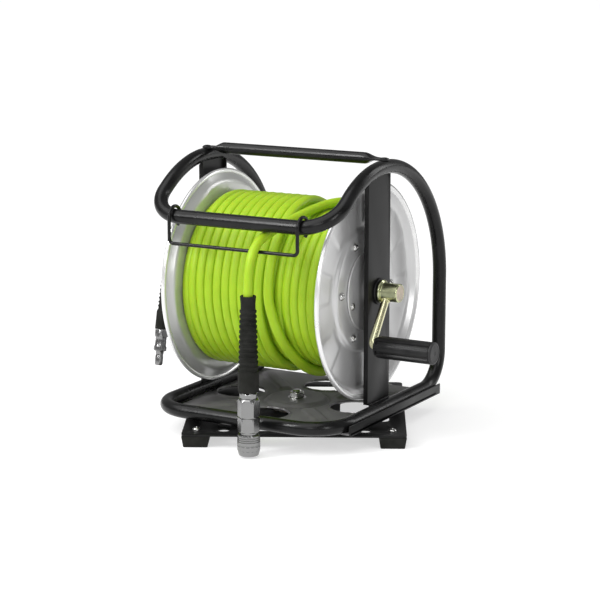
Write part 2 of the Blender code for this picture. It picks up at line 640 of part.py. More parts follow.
def make_drum(looks, drum):
    for name, side in (("left", -1), ("right", 1)):
        flange_mesh = turned(f"flange_{name}", flange_profile(), 40, [drum_axis(side)])
        flange = add_object(f"flange_{name}", flange_mesh, looks["silver_paint"], drum)
        reach = 12 * MM
        hole = [(0, -reach), (TIE_RADIUS + GAP, -reach), (TIE_RADIUS + GAP, reach), (0, reach)]
        middle = drum_axis(side) @ Matrix.Translation((0, 0, BOSS_X))
        rivet_places = around(middle, RIVET_CIRCLE, RIVET_COUNT, RIVET_START)
        places = around(middle, TIE_CIRCLE, TIE_COUNT, side * TIE_START) + rivet_places
        holes = turned(f"flange_holes_{name}", hole, 8, places)
        boolean(flange, add_cutter(f"flange_holes_{name}", holes, drum))

        hub = [(SHAFT_RADIUS + GAP, BOSS_X + GAP), (HUB_RADIUS, BOSS_X + GAP),
               (HUB_RADIUS, BOSS_X + 2.3 * MM), (HUB_COLLAR + 1.5 * MM, BOSS_X + 2.3 * MM),
               (HUB_COLLAR, BOSS_X + 4 * MM), (HUB_COLLAR, 105.5 * MM),
               (SHAFT_RADIUS + GAP, 105.5 * MM)]
        plate_mesh = turned(f"hub_{name}", hub, 28, [drum_axis(side)])
        hub_plate = add_object(f"hub_{name}", plate_mesh, looks["silver_paint"], drum)
        rivet_holes = turned(f"hub_holes_{name}", hole, 8, rivet_places)
        boolean(hub_plate, add_cutter(f"hub_holes_{name}", rivet_holes, drum))

        back, front = BOSS_X - SHEET - GAP, BOSS_X + 2.3 * MM + GAP
        rivet = [(0, front + 2 * MM), (2.6 * MM, front + 1.7 * MM), (4.2 * MM, front + 0.4 * MM),
                 (4.2 * MM, front), (TIE_RADIUS, front), (TIE_RADIUS, back), (4 * MM, back),
                 (4 * MM, back - 1.2 * MM), (0, back - 1.2 * MM)]
        add_copies(f"hub_rivet_{name}", turned("hub_rivet", rivet, 8), looks["bright_zinc"], drum,
                   around(drum_axis(side), RIVET_CIRCLE, RIVET_COUNT, RIVET_START))

    half = DISH_X - SHEET - GAP
    core = [(CORE_RADIUS - SHEET, -half), (CORE_RADIUS, -half), (CORE_RADIUS, half),
            (CORE_RADIUS - SHEET, half)]
    add_object("drum_core", turned("drum_core", core, 36, [drum_axis()]), looks["silver_paint"], drum)

    head, end = 4.5 * MM, BOSS_X + GAP
    rod = [(0, end + 3.4 * MM), (3 * MM, end + 3.2 * MM), (head, end + 1.8 * MM), (head, end),
           (TIE_RADIUS, end), (TIE_RADIUS, -end), (head, -end), (head, -end - 1.8 * MM),
           (3 * MM, -end - 3.2 * MM), (0, -end - 3.4 * MM)]
    add_copies("tie_bolt", turned("tie_bolt", rod, 8), looks["bright_zinc"], drum,
               around(drum_axis(), TIE_CIRCLE, TIE_COUNT, TIE_START))

    shaft = [(0, 133 * MM), (SHAFT_RADIUS - 1 * MM, 133 * MM), (SHAFT_RADIUS, 132 * MM),
             (SHAFT_RADIUS, -136 * MM), (SHAFT_BORE, -136 * MM), (SHAFT_BORE, -60 * MM), (0, -57 * MM)]
    add_object("drum_shaft", turned("drum_shaft", shaft, 20, [drum_axis()]), looks["bright_zinc"], drum)

    winding = [(WINDING_INNER, -WINDING_HALF), (WINDING_OUTER, -WINDING_HALF),
               (WINDING_OUTER, WINDING_STEP), (WINDING_LOWER, WINDING_STEP),
               (WINDING_LOWER, WINDING_HALF), (WINDING_INNER, WINDING_HALF)]
    add_object("hose_winding", turned("hose_winding", winding, 48, [drum_axis()]),
               looks["lime_hose"], drum)


def make_crank(looks, drum, grip):
    bore = SHAFT_RADIUS + GAP
    barrel = 10.5 * MM
    hub = [(0, 136.5 * MM), (barrel - 0.8 * MM, 136.5 * MM), (barrel, 135.7 * MM), (barrel, 115.2 * MM),
           (13.5 * MM, 114.6 * MM), (13.5 * MM, 112.9 * MM), (bore, 112.9 * MM), (bore, 133.4 * MM),
           (0, 133.4 * MM)]
    add_object("crank_hub", turned("crank_hub", hub, 24, [drum_axis()]), looks["yellow_zinc"], drum)

    reach = math.hypot(CRANK_Y, CRANK_Z)
    start = (barrel + 0.45 * MM) / reach
    corners = [((ARM_X, CRANK_Y * start, CRANK_Z * start), 0),
               ((ARM_X, CRANK_Y, CRANK_Z), 6 * MM),
               ((GRIP_END - 3.5 * MM, CRANK_Y, CRANK_Z), 0)]
    path = [point + Vector((0, DRUM_Y, DRUM_Z)) for point in rounded_path(corners, False)]
    arm = bevelled_curve("crank_arm", path, ARM_RADIUS, 3)
    add_curve("crank_arm", arm, looks["yellow_zinc"], drum)

    bore = ARM_RADIUS + GAP
    body_end = GRIP_END - 3 * MM
    profile = [(bore, GRIP_START), (GRIP_RADIUS - 2 * MM, GRIP_START),
               (GRIP_RADIUS - 0.6 * MM, GRIP_START + 1.5 * MM), (GRIP_RADIUS, GRIP_START + 12 * MM),
               (GRIP_RADIUS, body_end), (bore, body_end)]
    place = Matrix.Translation((0, DRUM_Y + CRANK_Y, DRUM_Z + CRANK_Z)) @ along_x()
    add_object("crank_grip", turned("crank_grip", profile, 24, [place]), looks["black_plastic"], grip)
    cap = [(0, GRIP_END), (GRIP_RADIUS - 1.2 * MM, GRIP_END), (GRIP_RADIUS, GRIP_END - 1 * MM),
           (GRIP_RADIUS, body_end + GAP), (0, body_end + GAP)]
    add_object("grip_cap", turned("grip_cap", cap, 24, [place]), looks["black_plastic"], grip)


# ---------------------------------------------------------------- wire bail

def make_bail(looks, bail):
    """A wire bow that hooks over the upper front bar and steers the hose."""
    right = [(BAIL_X, y, z) for y, z in arc((BAR_Y, TOP_BAR_Z), HOOK_RADIUS, -60, 180, 10)]
    corner = 5 * MM
    corners = [(point, 0) for point in right]
    corners += [((BAIL_X, BAIL_Y, BAIL_Z), corner), ((-BAIL_X, BAIL_Y, BAIL_Z), corner)]
    corners += [((-x, y, z), 0) for x, y, z in reversed(right)]
    path = rounded_path(corners, False)
    add_curve("wire_bail", bevelled_curve("wire_bail", path, WIRE_RADIUS, 2), looks["black_enamel"], bail)


# ---------------------------------------------------------------- hose ends

def make_hose_end(looks, frame, slider):
    """The loose end: over the bail, down into a ribbed sleeve and a one-touch coupler."""
    lead = bevelled_curve("hose_lead", smooth_route(HOSE_ROUTE, 1.25), HOSE / 2, 3)
    add_curve("hose_lead", lead, looks["lime_hose"], frame)
    place = Matrix.Translation((HOSE_X, SLEEVE_Y, 0))

    sleeve = [(0, SLEEVE_TOP), (7.5 * MM, SLEEVE_TOP), (8.6 * MM, SLEEVE_TOP - 1.5 * MM),
              (11.4 * MM, COUPLER_TOP + 26 * MM), (11.4 * MM, COUPLER_TOP + 1.5 * MM),
              (10.6 * MM, COUPLER_TOP + GAP), (0, COUPLER_TOP + GAP)]
    add_object("hose_sleeve", turned("hose_sleeve", sleeve, 20, [place]), looks["black_rubber"], frame)

    neck = 9.4 * MM
    shoulder = SLIDER_TOP + 2.4 * MM
    body = [(0, COUPLER_TOP), (10.4 * MM, COUPLER_TOP), (10.4 * MM, 66.5 * MM), (12 * MM, 65.5 * MM),
            (12 * MM, shoulder), (neck, shoulder), (neck, COUPLER_BOTTOM + 1.5 * MM),
            (5.5 * MM, COUPLER_BOTTOM + 1.5 * MM), (5.5 * MM, 38 * MM), (0, 40 * MM)]
    add_object("coupler_body", turned("coupler_body", body, 16, [place]), looks["bright_zinc"], frame)
    ring = [(neck + GAP, SLIDER_TOP), (12 * MM, SLIDER_TOP), (12.6 * MM, SLIDER_TOP - 1.5 * MM),
            (12.6 * MM, COUPLER_BOTTOM + 5 * MM), (10.9 * MM, COUPLER_BOTTOM),
            (neck + GAP, COUPLER_BOTTOM)]
    add_object("coupler_slider", turned("coupler_slider", ring, 20, [place]),
               looks["bright_zinc"], slider)


def make_inlet(looks, inlet):
    """The swivel inlet on the hollow end of the shaft, its short lead hose and its plug."""
    bore = SHAFT_RADIUS + GAP
    barrel = [(bore, 113 * MM), (13 * MM, 113 * MM), (13 * MM, 139 * MM), (11.5 * MM, 140.5 * MM),
              (0, 140.5 * MM), (0, 137 * MM), (bore, 137 * MM)]
    body = add_object("inlet_elbow", turned("inlet_elbow", barrel, 24, [drum_axis(-1)]),
                      looks["bright_zinc"], inlet)
    stub_place = (Matrix.Translation((LEAD_X, DRUM_Y, DRUM_Z))
                  @ Matrix.Rotation(math.radians(-STUB_TILT), 4, "X"))
    stub = [(0, 11 * MM), (6.2 * MM, 11 * MM), (6.2 * MM, 15 * MM), (0, 15 * MM)]
    boolean(body, add_cutter("inlet_stub", turned("inlet_stub", stub, 16, [stub_place]), inlet), "UNION")
    nut = turned("inlet_nut", [(0, 15.3 * MM), (8 * MM, 15.3 * MM), (8 * MM, 23.5 * MM),
                               (6.6 * MM, 25 * MM), (0, 25 * MM)], 6, [stub_place])
    add_object("inlet_nut", nut, looks["bright_zinc"], inlet)

    lead = bevelled_curve("inlet_lead", smooth_route(LEAD_ROUTE, 1.0), LEAD_HOSE / 2, 3)
    add_curve("inlet_lead", lead, looks["lime_hose"], inlet)

    last = Vector(LEAD_ROUTE[-1]) * MM + Vector((0, DRUM_Y, DRUM_Z))
    down = Matrix.Rotation(math.radians(180 - PLUG_TILT), 4, "X")
    place = Matrix.Translation(last) @ down
    sleeve = [(0, GAP), (5.6 * MM, GAP), (6.6 * MM, 2 * MM), (8 * MM, 46 * MM), (8.2 * MM, 72 * MM),
              (0, 72 * MM)]
    add_object("inlet_sleeve", turned("inlet_sleeve", sleeve, 16, [place]), looks["black_rubber"], inlet)
    plug = [(0, 72.3 * MM), (8.2 * MM, 72.3 * MM), (8.2 * MM, 80 * MM), (6.6 * MM, 81 * MM),
            (6.6 * MM, 91 * MM), (7.4 * MM, 92 * MM), (7.4 * MM, 96 * MM), (4.6 * MM, 98 * MM),
            (4.6 * MM, 111 * MM), (3.6 * MM, 113 * MM), (0, 113 * MM)]
    add_object("inlet_plug", turned("inlet_plug", plug, 16, [place]), looks["bright_zinc"], inlet)


# ---------------------------------------------------------------- assembly

def model_centre_x():
    """Middle of the reel's width: foot plate corner on the left, grip end on the right."""
    turn = math.radians(PLATE_TURN)
    straight = PLATE_HALF - PLATE_CORNER
    left = straight * (math.cos(turn) + math.sin(turn)) + PLATE_CORNER
    return (GRIP_END - left) / 2


def clear_scene():
    for old in list(bpy.data.objects):
        bpy.data.objects.remove(old)


def main():
    clear_scene()
    looks = make_finishes()
    reel = empty("reel", (-model_centre_x(), 0, 0))
    base = empty("base", (0, 0, 0), reel, math.radians(PLATE_TURN))
    frame = empty("frame", (0, 0, 0), reel)
    drum = empty("drum", (0, DRUM_Y, DRUM_Z), frame)
    grip = empty("grip", (0, DRUM_Y + CRANK_Y, DRUM_Z + CRANK_Z), drum)
    bail = empty("bail", (0, BAR_Y, TOP_BAR_Z), frame)
    inlet = empty("inlet", (LEAD_X, DRUM_Y, DRUM_Z), frame)
    slider = empty("slider", (HOSE_X, SLEEVE_Y, 0), frame)
    make_base(looks, base)
    make_frame(looks, frame)
    make_drum(looks, drum)
    make_crank(looks, drum, grip)
    make_bail(looks, bail)
    make_hose_end(looks, frame, slider)
    make_inlet(looks, inlet)
    bpy.context.view_layer.update()


main()
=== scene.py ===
"""Finished surfaces, hoses and finishes for a swivel-base hose reel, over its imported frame."""
import math

import bmesh
import bpy
from bpy.props import FloatProperty, FloatVectorProperty, IntProperty, PointerProperty
from mathutils import Matrix, Vector


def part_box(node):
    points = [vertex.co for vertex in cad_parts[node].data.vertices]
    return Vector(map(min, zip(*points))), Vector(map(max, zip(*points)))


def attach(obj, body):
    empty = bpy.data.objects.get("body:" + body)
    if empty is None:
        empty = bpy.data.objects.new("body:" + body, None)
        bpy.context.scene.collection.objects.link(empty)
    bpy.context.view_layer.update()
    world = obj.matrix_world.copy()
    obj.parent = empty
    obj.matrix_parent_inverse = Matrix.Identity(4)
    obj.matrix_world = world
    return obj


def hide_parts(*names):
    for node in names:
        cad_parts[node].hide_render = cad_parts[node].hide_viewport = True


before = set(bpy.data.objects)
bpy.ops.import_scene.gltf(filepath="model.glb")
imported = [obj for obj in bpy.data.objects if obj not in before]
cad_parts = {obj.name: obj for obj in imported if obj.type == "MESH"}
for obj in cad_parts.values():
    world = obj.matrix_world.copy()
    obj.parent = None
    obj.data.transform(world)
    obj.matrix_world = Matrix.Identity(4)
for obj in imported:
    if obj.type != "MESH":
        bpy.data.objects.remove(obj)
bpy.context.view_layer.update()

bl_info = {
    "name": "Swivel hose reel",
    "version": (1, 0, 0),
    "blender": (4, 5, 0),
    "location": "3D View > Sidebar > Reel",
    "description": "Builds the visible pieces of a crank-wound hose reel on a swivel base",
    "category": "Add Mesh",
}

MM = 0.001


def middle(name):
    """The centre of a CAD node's box."""
    low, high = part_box(name)
    return (Vector(low) + Vector(high)) / 2


PIVOT = Vector((middle("swivel_bolt").x, middle("swivel_bolt").y, 0))
AXIS = Vector((PIVOT.x, middle("drum_shaft").y, middle("drum_shaft").z))
HOSE_END = Vector((middle("coupler_body").x, middle("coupler_body").y, 0))
GRIP = Vector((PIVOT.x, middle("crank_grip").y, middle("crank_grip").z))
INLET = Vector((PIVOT.x - 132 * MM, AXIS.y, AXIS.z))
TO_DRUM = Matrix.Translation(AXIS) @ Matrix.Rotation(math.radians(90), 4, "Y")
TO_DRUM_LEFT = Matrix.Translation(AXIS) @ Matrix.Rotation(math.radians(-90), 4, "Y")
SIDES = (("left", TO_DRUM_LEFT), ("right", TO_DRUM))

# Routes of the free hoses, in millimetres from the drum axis at the swivel
RUN_ROUTE = (
    (73, 17.5, 95.5), (67.5, 8.8, 96.7), (61.5, 0, 97.1), (55.5, -10.2, 96.6), (50, -21.3, 94.8),
    (44.6, -36, 91.5), (40, -52, 87.9), (36.6, -68, 84.3), (34.2, -84, 80.7), (32.7, -98, 77.5),
    (32.2, -111, 74.6), (32, -122, 71.9), (32, -132.3, 68.1), (32, -141.4, 61.6), (32, -148, 52),
    (32, -151.8, 40), (32, -153.5, 27.4), (32, -154, 14.4), (32, -154, 0), (32, -154, -30),
    (32, -154, -60), (32, -154, -90),
)
INLET_ROUTE = (
    (-132, 6.3, 24.6), (-132, 7.9, 31.2), (-132, 8.3, 38), (-132, 7, 45), (-132, 3.3, 51.6),
    (-132, -2.6, 57.4), (-132, -10.4, 61.8), (-132, -19.4, 64.1), (-132, -28.6, 63.8),
    (-132, -37.2, 61), (-132, -44.4, 56), (-132, -49.8, 49.2), (-132, -53.4, 41),
    (-132, -55.8, 32), (-132, -57.6, 22.8), (-132, -59.2, 14.6),
)
# The winding, as (turns passed at the front, distance along the axis, radius), in millimetres
WINDING = (
    (-35.2, -83, 77.3), (-19.2, 81.3, 77.3), (-18.9, 81.3, 77.3), (-18.3, 81.3, 86.3), (-18, 81.3, 86.3),
    (-17, 71.5, 86.3), (-16, 61.5, 86.3), (-15, 51.5, 86.3), (-14, 41.6, 86.3), (-1.8, -83, 86.3),
    (-1.5, -83, 86.3), (-0.9, -83, 95.25), (-0.75, -82.6, 95.25), (0, -74.5, 95.25), (8, 10.3, 95.25),
    (8.9, 20.5, 95.25), (9, 22.7, 96.3), (9.08, 33, 97.1), (9.14, 41, 97.2), (9.25, 49.5, 97.2),
    (9.5, 63, 97.2), (9.721, 73, 97.1),
)
# Past this turn, under the drum, the hose belongs to the run and no longer turns with the drum
RUN_FROM_TURN = 9.25


# ---------------------------------------------------------------- sizes and colours

def linear(code):
    """An sRGB hex colour as the linear colour that a shader takes."""
    parts = [int(code[index:index + 2], 16) / 255 for index in (1, 3, 5)]
    return [part / 12.92 if part <= 0.04045 else ((part + 0.055) / 1.055) ** 2.4 for part in parts]


def colour_property(name, code, description):
    return FloatVectorProperty(name=name, description=description, subtype="COLOR", size=3,
                               min=0, max=1, default=linear(code))


def length_property(name, millimetres, description):
    return FloatProperty(name=name, description=description, unit="LENGTH", default=millimetres * MM)


class ReelHose(bpy.types.PropertyGroup):
    thickness: length_property("Hose", 10.3, "Outside diameter of the wound hose")
    inlet_thickness: length_property("Inlet hose", 8.5, "Outside diameter of the short inlet hose")
    steps_per_turn: IntProperty(name="Steps per turn", default=56, min=24, max=96,
                                description="Rings of the hose mesh in each turn of the drum")
    colour: colour_property("Hose", "#a0c324", "Lime green of the hose")
    shade: colour_property("Hose shade", "#97ba1e", "Deeper green between the paler patches")


class ReelFrame(bpy.types.PropertyGroup):
    tube_radius: length_property("Tube radius", 8, "Outside radius of the bent tube")
    wire_radius: length_property("Wire radius", 2, "Radius of the wire bail")
    handle_radius: length_property("Handle radius", 6.5, "Radius of the carrying bar")
    plate_edge: length_property("Plate edge", 0.5, "Rounding along the edges of the foot plate")
    enamel: colour_property("Enamel", "#080808", "Black stove enamel on the tube and sheet")
    # The pan's colour is painted sheen: mid grey for the room the black enamel reflects, faintly magenta
    # against green light from the hose
    pan: colour_property("Pan", "#525052", "Thinner, greyer enamel on the pan")
    pressed: colour_property("Pressings", "#101010",
                             "Black enamel on the uprights, the foot plate and the sides of the pan")


class ReelDrum(bpy.types.PropertyGroup):
    rib_count: IntProperty(name="Ribs", default=8, min=3, max=16,
                           description="Pressed ribs round each flange")
    rib_height: length_property("Rib height", 0.8, "How far the ribs stand out of the flange")
    silver: colour_property("Silver", "#cbcbcb", "Silver coating on the flanges")


class ReelFittings(bpy.types.PropertyGroup):
    sleeve_ribs: IntProperty(name="Sleeve ribs", default=12, min=4, max=24,
                             description="Rings moulded round the hose sleeve")
    rubber: colour_property("Rubber", "#12130f", "Black rubber of the sleeves and feet")
    grip: colour_property("Grip", "#101011", "Moulded black plastic of the crank grip")
    nickel: colour_property("Bright plate", "#bcbcba", "Bright plating on the fasteners")
    coupler: colour_property("Coupler", "#8d8d8d", "Duller plating on the coupler, inlet and plug")
    passivate: colour_property("Yellow zinc", "#e4dfb6", "Yellow passivated zinc of the crank")


# ---------------------------------------------------------------- finishes

def node(tree, kind, inputs=None, **settings):
    """Add a node: its settings by name, its inputs by name or number, each a value or a link."""
    made = tree.nodes.new(kind)
    for key, value in settings.items():
        setattr(made, key, value)
    for key, value in (inputs or {}).items():
        if isinstance(value, bpy.types.NodeSocket):
            tree.links.new(value, made.inputs[key])
        else:
            made.inputs[key].default_value = value
    return made


# Noise keeps near its middle, so these narrow bands of it span the whole change of tone or gloss
TONE_BAND = (0.34, 0.66)
GLOSS_BAND = (0.3, 0.7)


def surface(name, sockets, tones, patch, rough, grain, depth, stretch=(1, 1, 1), source="Object"):
    """A finish: two tones in patches, roughness that varies with them, and a fine grain.

    patch and grain are sizes in millimetres, depth is the height of the grain in millimetres.
    """
    made = bpy.data.materials.new(name)
    made.use_nodes = True
    tree = made.node_tree
    shader = tree.nodes["Principled BSDF"]
    for label, value in sockets.items():
        shader.inputs[label].default_value = value
    coordinates = node(tree, "ShaderNodeTexCoord")
    place = node(tree, "ShaderNodeMapping", {"Vector": coordinates.outputs[source], "Scale": stretch})
    patches = node(tree, "ShaderNodeTexNoise", {"Vector": place.outputs[0], "Scale": 1 / (patch * MM),
                                                "Detail": 2, "Roughness": 0.5})
    tone = node(tree, "ShaderNodeMapRange", {"Value": patches.outputs[0],
                                             "From Min": TONE_BAND[0], "From Max": TONE_BAND[1]})
    colour = node(tree, "ShaderNodeMix", {0: tone.outputs[0], 6: (*tones[0], 1), 7: (*tones[1], 1)},
                  data_type="RGBA")
    tree.links.new(colour.outputs[2], shader.inputs["Base Color"])
    smear = node(tree, "ShaderNodeMapRange", {"Value": patches.outputs[0],
                                              "From Min": GLOSS_BAND[0], "From Max": GLOSS_BAND[1],
                                              "To Min": rough[0], "To Max": rough[1]})
    tree.links.new(smear.outputs[0], shader.inputs["Roughness"])
    fine = node(tree, "ShaderNodeTexNoise", {"Vector": place.outputs[0], "Scale": 1 / (grain * MM),
                                             "Detail": 3})
    bump = node(tree, "ShaderNodeBump", {"Height": fine.outputs[0], "Strength": 1,
                                         "Distance": depth * MM})
    tree.links.new(bump.outputs[0], shader.inputs["Normal"])
    return made


def blend(one, two, share):
    """A colour that share of the way from one to two."""
    return [a + (b - a) * share for a, b in zip(one, two)]


def tube_enamel(scene):
    # Steel tube, dipped and stove enamelled: a wet black film with slight orange peel, soft gloss
    base = scene.reel_frame.enamel
    return surface("stoved_black_enamel", {"Specular IOR Level": 0.2, "Coat Weight": 0.1,
                                           "Coat Roughness": 0.16},
                   (base, blend(base, (0.02, 0.02, 0.021), 0.3)), 26, (0.24, 0.32), 1.4, 0.005)


def sheet_enamel(scene):
    # Pressed sheet in the same enamel, thinner on the flats: duller, with a little dust in the grain
    base = scene.reel_frame.pressed
    return surface("enamelled_pressed_sheet", {"Specular IOR Level": 0.2},
                   (base, blend(base, (0.02, 0.02, 0.02), 0.3)), 34, (0.32, 0.42), 1.1, 0.012)


def pan_enamel(scene):
    # The pan's black enamel, satin and slightly sandy. Its base colour is painted mid grey as sheen for the
    # bright room it reflects, and tinted faintly magenta against the green light the hose throws on it
    base = scene.reel_frame.pan
    return surface("pan_enamel_painted_sheen", {"Specular IOR Level": 0.5},
                   (base, blend(base, (0.2, 0.2, 0.2), 0.35)), 30, (0.38, 0.46), 1.0, 0.012)


def silver_coat(scene):
    # Steel pressing under aluminium-pigment paint: even metallic grey with a broad soft shine
    base = scene.reel_drum.silver
    return surface("aluminium_paint_on_steel", {"Metallic": 0.55, "Coat Weight": 0.05,
                                                "Coat Roughness": 0.2},
                   (base, blend(base, (0.5, 0.5, 0.5), 0.3)), 60, (0.3, 0.32), 0.5, 0.0003)


def hose_skin(scene):
    # Extruded soft polymer hose: satin skin, faint lines drawn along its length, slow colour drift
    hose = scene.reel_hose
    made = surface("extruded_soft_hose", {"Specular IOR Level": 0.3, "Subsurface Weight": 0.2,
                                          "Subsurface Scale": 0.005},
                   (hose.colour, hose.shade), 30, (0.42, 0.52), 1.2, 0.012)
    tree = made.node_tree
    shader = tree.nodes["Principled BSDF"]
    lines = node(tree, "ShaderNodeUVMap", uv_map="hose")
    drawn = node(tree, "ShaderNodeMapping", {"Vector": lines.outputs[0], "Scale": (46, 3, 1)})
    streak = node(tree, "ShaderNodeTexNoise", {"Vector": drawn.outputs[0], "Scale": 1, "Detail": 2})
    bump = node(tree, "ShaderNodeBump", {"Height": streak.outputs[0], "Strength": 0.6,
                                         "Distance": 0.05 * MM,
                                         "Normal": shader.inputs["Normal"].links[0].from_socket})
    tree.links.new(bump.outputs[0], shader.inputs["Normal"])
    return made


def yellow_zinc(scene):
    # Zinc plate with a yellow chromate: pale gold that drifts to green and pink, semi-bright
    base = scene.reel_fittings.passivate
    return surface("yellow_passivated_zinc", {"Metallic": 1.0},
                   (base, blend(base, linear("#bcc4a4"), 0.5)), 16, (0.2, 0.24), 0.5, 0.0004)


def boss_zinc(scene):
    # The same plate on the boss, where the chromate has dried greener and darker
    base = blend(scene.reel_fittings.passivate, linear("#7f9478"), 0.55)
    return surface("green_tinged_zinc", {"Metallic": 1.0},
                   (base, blend(base, linear("#cfd0a0"), 0.4)), 9, (0.2, 0.25), 0.5, 0.0004)


def bright_plate(scene):
    # Steel fasteners under bright zinc: smooth and shiny, with a slow drift of tone
    base = scene.reel_fittings.nickel
    return surface("bright_plated_turning", {"Metallic": 1.0},
                   (base, blend(base, (0.5, 0.5, 0.5), 0.2)), 12, (0.2, 0.25), 0.35, 0.0003,
                   stretch=(1, 1, 3))


def coupler_plate(scene):
    # Turned steel under nickel on the coupler, inlet and plug: greyer and duller than the fasteners
    base = scene.reel_fittings.coupler
    return surface("satin_nickel_turning", {"Metallic": 1.0},
                   (base, blend(base, (0.2, 0.2, 0.2), 0.12)), 30, (0.22, 0.25), 0.35, 0.0002,
                   stretch=(1, 1, 3))


def rim_painted_highlight(scene):
    # The rolled rim: smoother than the face, and paler, a painted highlight for the light its curve catches
    base = scene.reel_drum.silver
    return surface("rolled_rim_painted_highlight", {"Metallic": 0.6},
                   (blend(base, (1, 1, 1), 0.55), blend(base, (1, 1, 1), 0.4)), 20, (0.2, 0.28),
                   0.5, 0.001)


def moulded_rubber(scene):
    # Moulded black rubber: matt, dry skin with a faint bloom
    base = scene.reel_fittings.rubber
    return surface("moulded_black_rubber", {"Specular IOR Level": 0.14},
                   (base, blend(base, (0.03, 0.03, 0.028), 0.4)), 12, (0.55, 0.72), 0.6, 0.03)


def moulded_plastic(scene):
    # Injection-moulded polypropylene: charcoal, satin, with the mould's spark-eroded texture
    base = scene.reel_fittings.grip
    return surface("moulded_black_polypropylene", {"Specular IOR Level": 0.26},
                   (base, blend(base, (0.03, 0.03, 0.03), 0.3)), 15, (0.34, 0.42), 0.5, 0.008)


def natural_nylon(scene):
    # Natural nylon bearing ring: milky and waxy
    return surface("natural_nylon", {"Subsurface Weight": 0.1, "Subsurface Scale": 0.003},
                   (linear("#dedbd0"), linear("#cfcabb")), 10, (0.4, 0.5), 0.5, 0.01)


def cut_steel(scene):
    # Faced-off steel end under thin chromate: warm pinkish grey with a dull turned surface
    return surface("faced_steel_end", {"Metallic": 1.0},
                   (linear("#bfae9f"), linear("#a9a394")), 4, (0.34, 0.46), 0.3, 0.008)


def moulded_grey_cap(scene):
    # The same plastic as the grip, moulded smooth on the cap, and painted a shade greyer as highlight where
    # it takes the light
    return surface("grip_plastic_painted_lit", {"Specular IOR Level": 0.38},
                   (linear("#232324"), linear("#1f1f20")), 12, (0.42, 0.52), 0.5, 0.012)


FINISHES = {made.__name__: made for made in (
    tube_enamel, sheet_enamel, pan_enamel, silver_coat, hose_skin, yellow_zinc, boss_zinc, bright_plate,
    coupler_plate, rim_painted_highlight, moulded_rubber, moulded_plastic, natural_nylon, cut_steel,
    moulded_grey_cap)}
MADE = {}


def finish(name):
    """The material of that name, made the first time it is asked for."""
    if name not in MADE:
        MADE[name] = FINISHES[name](bpy.context.scene)
    return MADE[name]


# ---------------------------------------------------------------- mesh tools

def piece(name, mesh, body, look, replaces=(), sharp=35):
    """Put a mesh in the scene as a named piece that rides on a body."""
    made = bpy.data.objects.new(name, mesh)
    bpy.context.scene.collection.objects.link(made)
    if look:
        mesh.materials.clear()
        mesh.materials.append(finish(look))
    mesh.shade_smooth()
    mesh.set_sharp_from_angle(angle=math.radians(sharp))
    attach(made, body)
    if replaces:
        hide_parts(*replaces)
    return made


def second_finish(mesh, look, chosen):
    """Give another finish to the faces whose centre is chosen."""
    mesh.materials.append(finish(look))
    for polygon in mesh.polygons:
        if chosen(polygon.center):
            polygon.material_index = 1


def close_mesh(bm, name, weld=2e-6):
    """Weld a closed shape, point its faces outwards and store it."""
    bmesh.ops.remove_doubles(bm, verts=bm.verts, dist=weld)
    bmesh.ops.dissolve_degenerate(bm, edges=bm.edges, dist=1e-7)
    bmesh.ops.recalc_face_normals(bm, faces=bm.faces)
    mesh = bpy.data.meshes.new(name)
    bm.to_mesh(mesh)
    bm.free()
    return mesh


def skin(bm, rings, looped=False):
    """Faces between rings of equal count.  The ends are filled, or joined when looped."""
    made = [[bm.verts.new(point) for point in ring] for ring in rings]
    count = len(made[0])
    pairs = list(zip(made, made[1:]))
    if looped:
        pairs.append((made[-1], made[0]))
    for one, two in pairs:
        for index in range(count):
            after = (index + 1) % count
            bm.faces.new((one[index], one[after], two[after], two[index]))
    if not looped:
        bm.faces.new(made[0])
        bm.faces.new(reversed(made[-1]))
    return made


def lathe(bm, profile, place, steps=64, radius_at=None):
    """Turn a profile of (radius, height) in millimetres, closed on the axis or as a ring."""
    hollow = profile[0][0] > 0 and profile[-1][0] > 0
    rings = []
    for radius, height in profile:
        ring = []
        for step in range(steps):
            angle = math.tau * step / steps
            r = radius_at(angle, radius, height) if radius_at else radius
            ring.append(place @ Vector((r * MM * math.cos(angle), r * MM * math.sin(angle),
                                        height * MM)))
        rings.append(ring)
    skin(bm, rings, looped=hollow)


def turned(name, profiles, place, steps=64, radius_at=None):
    bm = bmesh.new()
    for profile in profiles:
        lathe(bm, profile, place, steps, radius_at)
    return close_mesh(bm, name)


def six_flats(half_width, low=-math.inf, high=math.inf, corner=0.0):
    """A lathe rule that cuts a hexagon, half_width in millimetres, between two heights."""
    def cut(angle, radius, height):
        if not low < height < high:
            return radius
        turn = (angle - corner) % math.radians(60) - math.radians(30)
        return min(radius, half_width / math.cos(turn))
    return cut


def soft(corners, closed=False, step=18):
    """A path through corners given as (point, bend radius), with each bend drawn as an arc."""
    path = []
    count = len(corners)
    for index, (point, radius) in enumerate(corners):
        here = Vector(point)
        if radius == 0 or not closed and index in (0, count - 1):
            path.append(here)
            continue
        before = (Vector(corners[index - 1][0]) - here).normalized()
        after = (Vector(corners[(index + 1) % count][0]) - here).normalized()
        half = before.angle(after) / 2
        if half > math.radians(89):
            path.append(here)
            continue
        centre = here + (before + after).normalized() * radius / math.sin(half)
        start = here + before * radius / math.tan(half) - centre
        end = here + after * radius / math.tan(half) - centre
        steps = max(2, round(math.degrees(start.angle(end)) / step))
        for part in range(steps + 1):
            path.append(centre + start.slerp(end, part / steps).normalized() * radius)
    return path


def rounded_profile(corners):
    """A profile of (radius, height) with its corners rounded, from (radius, height, rounding)."""
    return [(point.x, point.y) for point in soft([((r, z, 0), bend) for r, z, bend in corners])]


def smoothstep(low, high, value):
    share = max(0.0, min(1.0, (value - low) / (high - low)))
    return share * share * (3 - 2 * share)


